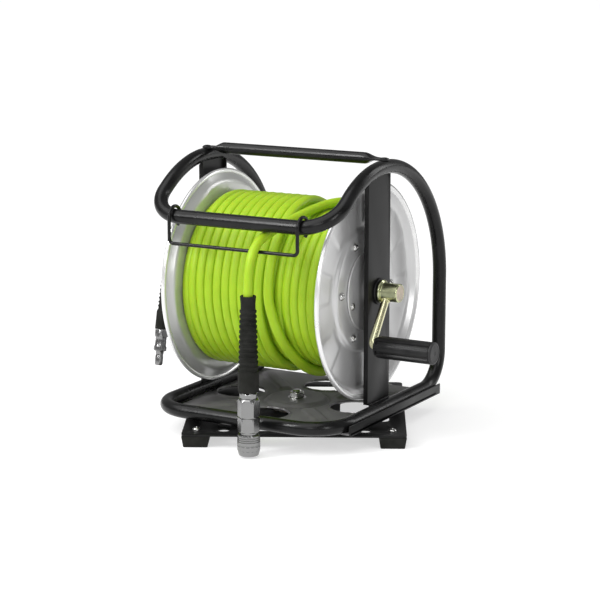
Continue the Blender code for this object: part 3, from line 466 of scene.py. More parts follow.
def softened(source, name, width, upright=False, segments=3):
    """A CAD solid's mesh, merged, its flats joined, and its edges (or long upright ones) rounded."""
    bm = bmesh.new()
    bm.from_mesh(bpy.data.objects[source].data)
    bmesh.ops.remove_doubles(bm, verts=bm.verts, dist=5e-6)
    bmesh.ops.dissolve_limit(bm, angle_limit=math.radians(0.6), verts=bm.verts, edges=bm.edges)
    chosen = []
    for edge in bm.edges:
        if len(edge.link_faces) != 2 or edge.calc_face_angle(0) < math.radians(40):
            continue
        along = edge.verts[1].co - edge.verts[0].co
        if not upright or abs(along.z) > 60 * MM:
            chosen.append(edge)
    bmesh.ops.bevel(bm, geom=chosen, offset=width * MM, offset_type="OFFSET", segments=segments,
                    profile=0.5, affect="EDGES", clamp_overlap=True, loop_slide=True)
    mesh = bpy.data.meshes.new(name)
    bm.to_mesh(mesh)
    bm.free()
    return mesh


def catmull(points, at):
    """A point on the Catmull-Rom curve through points, with at counted in points."""
    index = min(int(at), len(points) - 2)
    share = at - index
    first = points[max(index - 1, 0)]
    start, end = points[index], points[index + 1]
    last = points[min(index + 2, len(points) - 1)]
    leave, arrive = (end - first) * 0.5, (last - start) * 0.5
    return (start * (1 + 2 * share) * (1 - share) ** 2 + leave * share * (1 - share) ** 2
            + end * share ** 2 * (3 - 2 * share) + arrive * share ** 2 * (share - 1))


def route(points, per_point=3):
    """World points on a smooth curve through a route in millimetres from the drum axis."""
    places = [AXIS + Vector(point) * MM for point in points]
    count = (len(places) - 1) * per_point
    return [catmull(places, index / per_point) for index in range(count + 1)]


# Section of the wound hose, pressed between its neighbours: see hose_mesh
PRESSED_SECTION = 3.6
PRESSED_WIDTH = 1.05
WRAPS_PER_METRE = 10


def hose_mesh(name, path, radius, sides=14, squash=2.0, width=1.0):
    """A hose along a path, with a UV map that runs once round it and ten times in each metre.

    squash is 2 for a round section and more where neighbouring turns press its sides flat, and
    width is how far it then spreads along the drum, as a share of its diameter.
    """
    outline = []
    for k in range(sides):
        angle = math.tau * k / sides
        c, s = math.cos(angle), math.sin(angle)
        reach = (abs(c) ** squash + abs(s) ** squash) ** (-1 / squash)
        outline.append((c * reach * radius * width, s * reach * radius))
    bm = bmesh.new()
    wrap = bm.loops.layers.uv.new("hose")
    side = Vector((1, 0, 0))
    rings = []
    run = 0.0
    lengths = []
    for index, here in enumerate(path):
        ahead = path[min(index + 1, len(path) - 1)] - path[max(index - 1, 0)]
        ahead.normalize()
        side = (side - ahead * side.dot(ahead)).normalized()
        up = ahead.cross(side)
        if index:
            run += (here - path[index - 1]).length
        lengths.append(run)
        rings.append([bm.verts.new(here + side * across + up * out) for across, out in outline])
    for row in range(len(rings) - 1):
        for k in range(sides):
            after = (k + 1) % sides
            face = bm.faces.new((rings[row][k], rings[row][after],
                                 rings[row + 1][after], rings[row + 1][k]))
            corners = ((k, row), (k + 1, row), (k + 1, row + 1), (k, row + 1))
            for loop, (u, v) in zip(face.loops, corners):
                loop[wrap].uv = (u / sides, lengths[v] * WRAPS_PER_METRE)
    bm.faces.new(reversed(rings[0]))
    bm.faces.new(rings[-1])
    mesh = bpy.data.meshes.new(name)
    bm.to_mesh(mesh)
    bm.free()
    return mesh


# ---------------------------------------------------------------- geometry nodes

def new_tree(name, sockets):
    tree = bpy.data.node_groups.new(name, "GeometryNodeTree")
    tree.interface.new_socket("Geometry", in_out="INPUT", socket_type="NodeSocketGeometry")
    for label, kind in sockets:
        tree.interface.new_socket(label, in_out="INPUT", socket_type=f"NodeSocket{kind}")
    tree.interface.new_socket("Geometry", in_out="OUTPUT", socket_type="NodeSocketGeometry")
    return tree, node(tree, "NodeGroupInput")


def end_tree(tree, geometry, entry):
    whole = node(tree, "GeometryNodeRealizeInstances", {"Geometry": geometry})
    dressed = node(tree, "GeometryNodeSetMaterial",
                   {"Geometry": whole.outputs[0], "Material": entry.outputs["Finish"]})
    node(tree, "NodeGroupOutput", {0: dressed.outputs[0]})


def bar_tree():
    """A round bar or tube swept along the edges of a path."""
    tree, entry = new_tree("round_bar", (("Radius", "Float"), ("Sides", "Int"), ("Finish", "Material")))
    line = node(tree, "GeometryNodeMeshToCurve", {"Mesh": entry.outputs["Geometry"]})
    section = node(tree, "GeometryNodeCurvePrimitiveCircle",
                   {"Resolution": entry.outputs["Sides"], "Radius": entry.outputs["Radius"]})
    bar = node(tree, "GeometryNodeCurveToMesh", {"Curve": line.outputs[0],
                                                 "Profile Curve": section.outputs[0],
                                                 "Fill Caps": True})
    end_tree(tree, bar.outputs[0], entry)
    return tree


def ring_tree():
    """Copies of a fastener, stood evenly round a circle."""
    tree, entry = new_tree("fastener_ring", (("Fastener", "Object"), ("Count", "Int"),
                                             ("Circle", "Float"), ("Start", "Float"),
                                             ("Finish", "Material")))
    circle = node(tree, "GeometryNodeMeshCircle", {"Vertices": entry.outputs["Count"],
                                                   "Radius": entry.outputs["Circle"]})
    source = node(tree, "GeometryNodeObjectInfo", {"Object": entry.outputs["Fastener"]})
    copies = node(tree, "GeometryNodeInstanceOnPoints", {"Points": circle.outputs[0],
                                                         "Instance": source.outputs["Geometry"]})
    spin = node(tree, "ShaderNodeCombineXYZ", {"Z": entry.outputs["Start"]})
    turn = node(tree, "GeometryNodeTransform", {"Geometry": copies.outputs[0],
                                                "Rotation": spin.outputs[0]})
    end_tree(tree, turn.outputs[0], entry)
    return tree


def places_tree():
    """Copies of a small piece, one on each point of a guide."""
    tree, entry = new_tree("pieces_on_points", (("Piece", "Object"), ("Finish", "Material")))
    source = node(tree, "GeometryNodeObjectInfo", {"Object": entry.outputs["Piece"]})
    copies = node(tree, "GeometryNodeInstanceOnPoints", {"Points": entry.outputs["Geometry"],
                                                         "Instance": source.outputs["Geometry"]})
    end_tree(tree, copies.outputs[0], entry)
    return tree


def weld_tree():
    """A weld bead: overlapping round drops at an even pitch along a seam, of uneven size."""
    tree, entry = new_tree("weld_bead", (("Bead", "Float"), ("Pitch", "Float"), ("Seed", "Int"),
                                         ("Finish", "Material")))
    seam = node(tree, "GeometryNodeMeshToCurve", {"Mesh": entry.outputs["Geometry"]})
    steps = node(tree, "GeometryNodeResampleCurve", {"Curve": seam.outputs[0],
                                                     "Length": entry.outputs["Pitch"]}, mode="LENGTH")
    drop = node(tree, "GeometryNodeMeshIcoSphere", {"Radius": entry.outputs["Bead"],
                                                    "Subdivisions": 2})
    size = node(tree, "FunctionNodeRandomValue", {2: 0.8, 3: 1.1, "Seed": entry.outputs["Seed"]},
                data_type="FLOAT")
    drops = node(tree, "GeometryNodeInstanceOnPoints", {"Points": steps.outputs[0],
                                                        "Instance": drop.outputs[0],
                                                        "Scale": size.outputs[1]})
    end_tree(tree, drops.outputs[0], entry)
    return tree


TREES = {}


def grow(maker, name, guide, values, place=None):
    """Run a node tree on a guide mesh and keep the result as a plain closed mesh."""
    if maker.__name__ not in TREES:
        TREES[maker.__name__] = maker()
    tree = TREES[maker.__name__]
    holder = bpy.data.objects.new(name + "_guide", guide)
    bpy.context.scene.collection.objects.link(holder)
    modifier = holder.modifiers.new(tree.name, "NODES")
    modifier.node_group = tree
    for item in tree.interface.items_tree:
        if item.in_out == "INPUT" and item.name in values:
            modifier[item.identifier] = values[item.name]
    graph = bpy.context.evaluated_depsgraph_get()
    mesh = bpy.data.meshes.new_from_object(holder.evaluated_get(graph))
    bpy.data.objects.remove(holder)
    bm = bmesh.new()
    bm.from_mesh(mesh)
    bmesh.ops.remove_doubles(bm, verts=bm.verts, dist=1e-7)
    bmesh.ops.recalc_face_normals(bm, faces=bm.faces)
    if place:
        bmesh.ops.transform(bm, matrix=place, verts=bm.verts)
    bm.to_mesh(mesh)
    bm.free()
    mesh.name = name
    return mesh


def guide_line(points, closed=False):
    mesh = bpy.data.meshes.new("guide")
    edges = [(index, index + 1) for index in range(len(points) - 1)]
    if closed:
        edges.append((len(points) - 1, 0))
    mesh.from_pydata([tuple(point) for point in points], edges, [])
    return mesh


def guide_points(points):
    mesh = bpy.data.meshes.new("guide")
    mesh.from_pydata([tuple(point) for point in points], [], [])
    return mesh


def loose(name, mesh):
    """An object that only lends its mesh to a node tree."""
    made = bpy.data.objects.new(name, mesh)
    bpy.context.scene.collection.objects.link(made)
    return made


def ring_of(name, part, look, circle, count, start, place):
    """A mesh of equal fasteners round a circle, radius in millimetres and start in degrees."""
    lender = loose(name + "_one", part)
    mesh = grow(ring_tree, name, bpy.data.meshes.new("guide"),
                {"Fastener": lender, "Count": count, "Circle": circle * MM,
                 "Start": math.radians(start), "Finish": finish(look)}, place)
    bpy.data.objects.remove(lender)
    return mesh


def on_points(name, part, look, points):
    """A mesh of equal small pieces, one at each point."""
    lender = loose(name + "_one", part)
    mesh = grow(places_tree, name, guide_points(points), {"Piece": lender, "Finish": finish(look)})
    bpy.data.objects.remove(lender)
    return mesh


# ---------------------------------------------------------------- operators

class ReelOperator:
    """Shared settings of the operators that build the reel."""
    bl_options = {"REGISTER", "UNDO"}


# Lamps, as (name, place in metres, width and height in metres, power in watts)
LAMPS = (
    ("key", (-1.0, -1.7, 1.5), (0.3, 1.3), 26),
    ("fill", (1.9, -1.1, 0.9), (0.4, 1.0), 9),
    ("edge", (1.2, 1.7, 1.1), (0.4, 1.4), 8),
    ("front", (0.75, -2.1, 1.0), (0.7, 0.22), 5),
)
LAMP_AIM = Vector((0, 0, 0.15))
SUN_STRENGTH = 2.3
SUN_SPREAD = 75         # degrees, so that the shadows have no hard edge
ROOM_STRENGTH = 0.26
FLOOR_REACH = 9.0       # metres, so that its edge is out of view
FLOOR_GLOW = 0.58
# The camera: place in metres, tilt and heading in degrees, focal length in millimetres
CAMERA_PLACE = (1.09257, -1.94442, 0.59732)
CAMERA_TILT = 78.5
CAMERA_HEADING = 29.6
FOCAL_LENGTH = 119.285


class REEL_OT_stage(ReelOperator, bpy.types.Operator):
    """Pale floor, soft studio light and the camera"""
    bl_idname = "reel.stage"
    bl_label = "Stage"

    def execute(self, context):
        scene = context.scene
        floor = bpy.data.meshes.new("floor")
        reach = FLOOR_REACH
        floor.from_pydata([(-reach, -reach, 0), (reach, -reach, 0), (reach, reach, 0),
                           (-reach, reach, 0)], [], [(0, 1, 2, 3)])
        ground = bpy.data.objects.new("floor", floor)
        scene.collection.objects.link(ground)
        pale = bpy.data.materials.new("pale_floor")
        pale.use_nodes = True
        shader = pale.node_tree.nodes["Principled BSDF"]
        shader.inputs["Base Color"].default_value = (0.5, 0.5, 0.5, 1)
        shader.inputs["Emission Color"].default_value = (1, 1, 1, 1)
        shader.inputs["Emission Strength"].default_value = FLOOR_GLOW
        shader.inputs["Roughness"].default_value = 0.9
        shader.inputs["Specular IOR Level"].default_value = 0.1
        floor.materials.append(pale)

        world = bpy.data.worlds.new("studio")
        world.use_nodes = True
        tree = world.node_tree
        # A dim grey room lights the reel, and a white cyclorama stands behind it
        room = tree.nodes["Background"]
        room.inputs["Color"].default_value = (1, 1, 1, 1)
        room.inputs["Strength"].default_value = ROOM_STRENGTH
        wall = node(tree, "ShaderNodeBackground", {"Color": (1, 1, 1, 1), "Strength": 1.0})
        seen = node(tree, "ShaderNodeLightPath")
        both = node(tree, "ShaderNodeMixShader", {0: seen.outputs["Is Camera Ray"],
                                                  1: room.outputs[0], 2: wall.outputs[0]})
        tree.links.new(both.outputs[0], tree.nodes["World Output"].inputs["Surface"])
        scene.world = world

        sky = bpy.data.lights.new("overhead", "SUN")
        sky.energy = SUN_STRENGTH
        sky.angle = math.radians(SUN_SPREAD)
        overhead = bpy.data.objects.new("overhead", sky)
        overhead.rotation_euler = (math.radians(24), math.radians(-16), 0)
        scene.collection.objects.link(overhead)
        for name, place, size, power in LAMPS:
            lamp = bpy.data.lights.new(name, "AREA")
            lamp.shape = "RECTANGLE"
            lamp.size, lamp.size_y = size
            lamp.energy = power
            made = bpy.data.objects.new(name, lamp)
            made.location = place
            aim = LAMP_AIM - Vector(place)
            made.rotation_euler = aim.to_track_quat("-Z", "Y").to_euler()
            scene.collection.objects.link(made)

        lens = bpy.data.cameras.new("camera")
        lens.lens = FOCAL_LENGTH
        lens.sensor_width = 36
        camera = bpy.data.objects.new("camera", lens)
        camera.location = CAMERA_PLACE
        camera.rotation_euler = (math.radians(CAMERA_TILT), 0, math.radians(CAMERA_HEADING))
        scene.collection.objects.link(camera)
        scene.camera = camera
        scene.view_settings.view_transform = "Standard"
        return {"FINISHED"}


def winding_path(steps_per_turn):
    """Centre line of the wound hose: three layers, laid side by side and climbing at each flange."""
    path = []
    first, last = WINDING[0][0], WINDING[-1][0]
    count = round((last - first) * steps_per_turn)
    row = 0
    for index in range(count + 1):
        turns = first + (last - first) * index / count
        while row < len(WINDING) - 2 and turns > WINDING[row + 1][0]:
            row += 1
        one, two = WINDING[row], WINDING[row + 1]
        share = (turns - one[0]) / (two[0] - one[0])
        radius_share = smoothstep(0, 1, share)
        along = one[1] + (two[1] - one[1]) * share
        along += 0.22 * math.sin(turns * 5.1) + 0.16 * math.sin(turns * 11.3 + 1)
        radius = one[2] + (two[2] - one[2]) * radius_share + 0.1 * math.sin(turns * 3.7 + 2)
        angle = -math.tau * turns
        path.append(AXIS + Vector((along, -radius * math.cos(angle), radius * math.sin(angle))) * MM)
    return path


class REEL_OT_hoses(ReelOperator, bpy.types.Operator):
    """The wound hose, its run over the bail and the short inlet hose"""
    bl_idname = "reel.hoses"
    bl_label = "Hoses"

    def execute(self, context):
        sizes = context.scene.reel_hose
        whole = winding_path(sizes.steps_per_turn)
        split = round((RUN_FROM_TURN - WINDING[0][0]) * sizes.steps_per_turn)
        path = whole[:split + 1]
        mesh = hose_mesh("wound_hose", path, sizes.thickness / 2, 16, PRESSED_SECTION, PRESSED_WIDTH)
        wound = piece("wound_hose", mesh, "drum", "hose_skin", ("hose_winding",), 80)
        path = whole[split:-1] + route(RUN_ROUTE)
        mesh = hose_mesh("hose_run", path, sizes.thickness / 2, 24)
        run = piece("hose_run", mesh, "frame", "hose_skin", ("hose_lead",), 80)
        fittings = make_hose_end(context.scene)
        path = route(INLET_ROUTE)
        mesh = hose_mesh("inlet_hose", path, sizes.inlet_thickness / 2, 20)
        lead = piece("inlet_hose", mesh, "inlet", "hose_skin", ("inlet_lead",), 80)
        fittings = make_inlet_end(path)
        return {"FINISHED"}


def ribbed_profile(bottom, top, radius_at, count, rise, pitch):
    """Outline up the outside of a sleeve with square-shouldered rings standing out of it."""
    outline = []
    for index in range(count):
        low = bottom + index * pitch
        high = low + pitch * 0.52
        base_low, base_high = radius_at(low), radius_at(high)
        outline += [(base_low, low), (base_low + rise * 0.85, low + 0.25), (base_low + rise, low + 0.6),
                    (base_high + rise, high - 0.6), (base_high + rise * 0.85, high - 0.25),
                    (base_high, high)]
    return [point for point in outline if point[1] < top]


def make_hose_end(scene):
    """The ribbed sleeve and the coupler at the free end of the hose."""
    place = Matrix.Translation(HOSE_END)

    def slope(height):
        return 10.0 - (height - 96.6) * (10.0 - 7.7) / (178.6 - 96.6)

    count = scene.reel_fittings.sleeve_ribs
    sleeve = [(0, 73), (10.6, 73), (11.3, 73.7), (11.5, 74.8), (11.5, 94.6), (11.25, 95.9),
              (10.3, 96.3), (10.1, 96.8)]
    sleeve += ribbed_profile(98.6, 166, slope, count, 1.05, 5.6)
    sleeve += [(slope(166), 166), (slope(170) + 0.1, 170), (8.7, 177.2), (8.5, 178.2), (7.9, 178.6),
               (6.7, 178.2), (5.9, 176.6), (5.5, 174), (0, 174)]
    made = piece("hose_sleeve_ribbed", turned("hose_sleeve", [sleeve], place, 48), "frame",
                 "moulded_rubber", ("hose_sleeve",), 40)

    corner = math.radians(-36.4)
    nut = rounded_profile([(0, 72.4, 0), (9.2, 72.4, 0.4), (10.4, 71.2, 0.4), (10.4, 67.2, 0.4),
                           (9.3, 66.5, 0.2), (0, 66.5, 0)])

    body = [(0, 66.9), (9.0, 66.9), (9.0, 66.1), (9.9, 65.95), (10.2, 65.6), (11.2, 64.5), (12, 63.2),
            (12.3, 62.4), (12.3, 58), (12.3, 50), (12.3, 46.2), (12.1, 45.9), (10.3, 45.7), (10.3, 44.9),
            (12.1, 44.7), (12.3, 44.4), (12.3, 38), (12.3, 32), (12.1, 30.6), (11.4, 29.3), (10.7, 28.5),
            (9.4, 28.3), (9.4, 4.2), (9.1, 4), (5.7, 4), (5.5, 4.3), (5.5, 38), (0, 40)]
    bm = bmesh.new()
    lathe(bm, body, place, 96, six_flats(10.9, 27.5, 66, corner))
    lathe(bm, nut, place, 96, six_flats(9.4, corner=corner + 0.5))
    shell = piece("coupler_hexagon_body", close_mesh(bm, "coupler"), "frame", "coupler_plate",
                  ("coupler_body",), 30)

    def notched(angle, radius, height):
        if 8.6 < height < 13.2 and radius > 12:
            return radius - 0.55 * smoothstep(-0.15, 0.35, math.cos(angle * 14))
        return radius

    # Three grooves round the collar above a band of shallow notches
    collar = [(9.7, 25.9), (11.7, 25.9), (12.2, 25.6), (12.4, 25.1), (12.4, 23.8), (11.8, 23.4),
              (11.8, 22.8), (12.45, 22.4), (12.45, 21.6), (11.8, 21.2), (11.8, 20.6), (12.5, 20.2),
              (12.5, 19.4), (11.8, 19), (11.8, 18.4), (12.6, 18.0), (12.6, 14.6), (12.0, 14.1),
              (12.0, 13.4), (12.6, 13.1), (12.6, 12.9), (12.6, 9), (12.6, 8.7), (12.0, 8.3),
              (12.1, 7.6), (11.9, 6.6), (11.3, 4.4), (11, 3.3), (10.6, 2.7), (10.2, 2.5), (9.7, 2.6)]
    release = piece("coupler_release_sleeve", turned("release", [collar], place, 112, notched),
                    "slider", "coupler_plate", ("coupler_slider",), 30)
    return [made, shell, release]


def make_inlet_end(path):
    """The sleeve and plug that hang on the inlet hose."""
    down = Matrix.Translation(path[-1]) @ Matrix.Rotation(math.radians(180 - 11.8), 4, "X")

    def slope(height):
        return 5.5 + 1.6 * height / 72

    sleeve = [(0, 3.2), (4.4, 3.2), (4.5, 0.8), (5.0, 0.3), (5.5, 0.4), (5.9, 1.4), (slope(6), 6)]
    sleeve += ribbed_profile(7, 50, slope, 9, 0.9, 4.6)
    sleeve += [(slope(49) + 0.3, 49), (7.9, 50.2), (8.1, 51.2), (8.2, 70.8), (7.8, 71.8), (0, 72)]
    made = piece("inlet_sleeve_ribbed", turned("inlet_sleeve", [sleeve], down, 40), "inlet",
                 "moulded_rubber", ("inlet_sleeve",), 40)
    plug = [(0, 72.4), (7.6, 72.4), (8.2, 73), (8.2, 79.2), (7.7, 80), (6.7, 80.4), (6.4, 81),
            (6.4, 84), (6.1, 84.3), (6.1, 84.9), (6.5, 85.2), (6.5, 90.6), (6.7, 91.2), (7.4, 91.8),
            (7.4, 95.6), (7.0, 96.2), (5.2, 96.9), (4.7, 97.6), (4.6, 99), (4.3, 100), (4.3, 102),
            (4.6, 103), (4.6, 110.6), (4.2, 112), (3.6, 113), (2.6, 113), (2.3, 112.4), (2.3, 104), (0, 103)]
    shape = turned("inlet_plug", [plug], down, 48, six_flats(7.5, 72.6, 80.1))
    bright = piece("inlet_plug_turned", shape, "inlet", "coupler_plate",
                   ("inlet_plug",), 32)
    return [made, bright]


class REEL_OT_inlet(ReelOperator, bpy.types.Operator):
    """The swivel inlet on the end of the shaft, with its stub and union nut"""
    bl_idname = "reel.inlet"
    bl_label = "Swivel inlet"

    def execute(self, context):
        barrel = rounded_profile([(8.3, 113, 0), (12.4, 113, 0.5), (13, 113.8, 0.4), (13, 118, 0.2),
                                  (12.3, 118.6, 0.2), (12.3, 119.4, 0.2), (13, 120, 0.2),
                                  (13, 138.4, 0.8), (11.4, 140.4, 0.8), (0, 140.5, 0), (0, 137, 0),
                                  (8.3, 137, 0), (8.3, 113.2, 0)])
        stub_place = Matrix.Translation(INLET) @ Matrix.Rotation(math.radians(-15), 4, "X")
        bm = bmesh.new()
        lathe(bm, barrel, TO_DRUM_LEFT, 64)
        lathe(bm, [(0, 9), (7, 9), (7, 12.4), (6.4, 13), (6.2, 15.1), (0, 15.1)], stub_place, 40)
        piece("inlet_swivel_body", close_mesh(bm, "inlet_body"), "inlet", "coupler_plate",
              ("inlet_elbow",), 32)

        nut = [(0, 15.3), (7.2, 15.3), (7.8, 15.9), (8, 16.6), (8, 22.2), (7.7, 23), (6.9, 23.8),
               (5.4, 24.4), (5.2, 25), (0, 25)]
        mesh = turned("union_nut", [nut], stub_place, 72, six_flats(7.15))
        piece("inlet_union_nut", mesh, "inlet", "coupler_plate", ("inlet_nut",), 30)
        return {"FINISHED"}


ARCH_TOP = 148          # top of the tube's arches above the drum axis, in millimetres
SEAT_DEPTH = 0.9        # how far the arches are pressed flat under the handle
TAB_HALF = 0.8          # half the thickness of the handle's flattened ends
TAB_GAP = 0.35
BAR_Y, BAR_Z = -130, 251        # centre line of the upper front bar, in millimetres


def loop_path():
    """The closed loop of tube: upper front bar, an arch down each side, and the lower front bar."""
    side, bottom, bend = 115, 30.5, 145
    arch_y, arch_z = AXIS.y / MM, AXIS.z / MM - 5
    arch = []
    steps = 84
    for step in range(steps + 1):
        angle = math.radians(125 * step / steps)
        arch.append((arch_y + bend * math.cos(angle), arch_z + bend * math.sin(angle)))
    rear = arch_y + bend
    corners = [((side, BAR_Y, BAR_Z), 40)]
    corners += [((side, y, z), 0) for y, z in reversed(arch)]
    corners += [((side, rear, bottom), 40), ((side, BAR_Y, bottom), 45), ((-side, BAR_Y, bottom), 45),
                ((-side, rear, bottom), 40)]
    corners += [((-side, y, z), 0) for y, z in arch]
    corners.append(((-side, BAR_Y, BAR_Z), 40))
    return [Vector((PIVOT.x, 0, 0)) + point * MM for point in soft(corners, True, 4)]


class REEL_OT_tube(ReelOperator, bpy.types.Operator):
    """The bent tube loop, pressed flat under the handle"""
    bl_idname = "reel.tube"
    bl_label = "Tube loop"

    def execute(self, context):
        sizes = context.scene.reel_frame
        mesh = grow(bar_tree, "tube_loop", guide_line(loop_path(), True),
                    {"Radius": sizes.tube_radius, "Sides": 28, "Finish": finish("tube_enamel")})
        seat = AXIS.z + (ARCH_TOP - SEAT_DEPTH) * MM
        for vertex in mesh.vertices:
            if vertex.co.z > seat and abs(vertex.co.y - AXIS.y) < 16 * MM:
                vertex.co.z = seat
        piece("tube_loop", mesh, "frame", "tube_enamel", ("frame_tube",), 50)
        return {"FINISHED"}


class REEL_OT_welds(ReelOperator, bpy.types.Operator):
    """Weld beads between the tube, the uprights and the pan"""
    bl_idname = "reel.welds"
    bl_label = "Welds"

    def execute(self, context):
        bm = bmesh.new()
        # Seams under the arch, at the foot of the upright and in three rows along the pan's side
        for side in (-1, 1):
            top = [Vector((PIVOT.x + side * 110.4 * MM, AXIS.y + 137.6 * MM * math.sin(a),
                           AXIS.z - 5 * MM + 137.6 * MM * math.cos(a)))
                   for a in [math.radians(-8 + 16 * k / 12) for k in range(13)]]
            foot = [Vector((PIVOT.x + side * 110.6 * MM, AXIS.y + y * MM, 38.2 * MM))
                    for y in (-22, -11, 0, 11, 22)]
            seams = [top, foot]
            for start in (-84, -14, 52):
                seams.append([Vector((PIVOT.x + side * 107 * MM, (start + k * 6) * MM, 23.4 * MM))
                              for k in range(5)])
            for seam in seams:
                bead = grow(weld_tree, "bead", guide_line(seam),
                            {"Bead": 1.7 * MM, "Pitch": 1.5 * MM, "Seed": 4,
                             "Finish": finish("tube_enamel")})
                bm.from_mesh(bead)
        mesh = bpy.data.meshes.new("weld_beads")
        bm.to_mesh(mesh)
        bm.free()
        piece("weld_beads", mesh, "frame", "tube_enamel", (), 60)
        return {"FINISHED"}


class REEL_OT_handle(ReelOperator, bpy.types.Operator):
    """The carrying bar with its flattened ends, and the bolt through each"""
    bl_idname = "reel.handle"
    bl_label = "Handle"

    def execute(self, context):
        radius = context.scene.reel_frame.handle_radius / MM
        sides = 32
        height = AXIS.z / MM + ARCH_TOP + 0.4
        tab = AXIS.z / MM + ARCH_TOP - SEAT_DEPTH + TAB_GAP + TAB_HALF
        stations = [0, 30, 60, 80, 88, 92, 94, 96, 98, 100, 102, 104, 106, 108, 111, 113, 115, 116.5,
                    118, 119, 119.6, 120]
        rings = []
        for x in [-s for s in reversed(stations[1:])] + stations:
            flat = smoothstep(91, 107, abs(x))
            narrow = 1.0
            if abs(x) > 111.5:
                narrow = math.sqrt(max(0.02, 1 - ((abs(x) - 111.5) / 8.6) ** 2))
            ring = []
            for index in range(sides):
                angle = math.tau * (index + 0.5) / sides
                round_y, round_z = radius * math.cos(angle), radius * math.sin(angle)
                flat_y = 8.5 * narrow * max(-1, min(1, 1.12 * math.cos(angle)))
                flat_z = max(-TAB_HALF, min(TAB_HALF, 4 * math.sin(angle)))
                y = round_y + (flat_y - round_y) * flat
                z = height + round_z + (tab + flat_z - height - round_z) * flat
                ring.append(Vector((PIVOT.x + x * MM, AXIS.y + y * MM, z * MM)))
            rings.append(ring)
        bm = bmesh.new()
        skin(bm, rings)
        piece("carrying_bar", close_mesh(bm, "carrying_bar"), "frame", "tube_enamel",
              ("handle_bar",), 45)
        head = tab + TAB_HALF
        bolt = [(0, head + 1.5), (1.6, head + 1.45), (2.8, head + 1.25), (3.9, head + 0.85),
                (4.5, head + 0.4), (4.6, head), (2.3, head), (2.3, head - 3), (0, head - 3)]
        mesh = on_points("handle_bolts", turned("bolt", [bolt], Matrix(), 32), "tube_enamel",
                         [(PIVOT.x + side * 115 * MM, AXIS.y, 0) for side in (-1, 1)])
        piece("handle_bolts", mesh, "frame", "tube_enamel",
              ("handle_bolt_1", "handle_bolt_2"), 40)
        return {"FINISHED"}


class REEL_OT_uprights(ReelOperator, bpy.types.Operator):
    """The folded channels that carry the shaft, and their plastic bushes"""
    bl_idname = "reel.uprights"
    bl_label = "Uprights"

    def execute(self, context):
        for name, place in SIDES:
            mesh = softened(f"upright_{name}", f"channel_{name}", 1.5, upright=True, segments=4)
            piece(f"channel_upright_{name}", mesh, "frame", "sheet_enamel",
                  (f"upright_{name}",), 40)
            bush = rounded_profile([(8.3, 106.5, 0), (11, 106.5, 0.4), (11.5, 107, 0.2),
                                    (11.5, 110.3, 0), (14.6, 110.3, 0.2), (15, 110.6, 0.2),
                                    (15, 111.7, 0.5), (14.2, 112.3, 0.4), (9.4, 112.3, 0.4),
                                    (8.3, 111.8, 0)])
            piece(f"shaft_bush_{name}", turned("bush", [bush], place, 64), "frame",
                  "moulded_plastic", (f"bush_{name}",), 40)
        return {"FINISHED"}


PAN_TOP = 22.2
PAN_HOLES = ((76, 0), (0, 76), (-76, 0), (0, -76))
PAN_HOLE_RADIUS = 28.0
PAN_CELL = 1.75         # spacing of the pan's grid
PAN_SNAP = 0.62         # grid points this near an edge, in cells, are moved onto it
PAN_SIDE_FROM = 123.6   # distance from the middle at which the turned-up sides begin


def pan_height(x, y):
    """How far the pan's pressed surface stands above its flat, in millimetres."""
    reach = math.hypot(x, y)
    disc = 3.3 * (1 - smoothstep(32.5, 35.5, reach))
    groove = -1.3 * (1 - smoothstep(0, 3, abs(reach - 38.5)))
    across = abs(abs(x) - abs(y)) / math.sqrt(2)
    swage = 0.0
    if reach > 40:
        swage = 3.2 * (1 - smoothstep(5, 9, across))
        swage *= smoothstep(44, 54, reach) * (1 - smoothstep(132, 142, reach))
    rims = 0.0
    for hole_x, hole_y in PAN_HOLES:
        gap = math.hypot(x - hole_x, y - hole_y) - PAN_HOLE_RADIUS
        rims = max(rims, 1.9 * (1 - smoothstep(0.4, 3.2, gap)))
    return max(disc, swage, rims) + groove


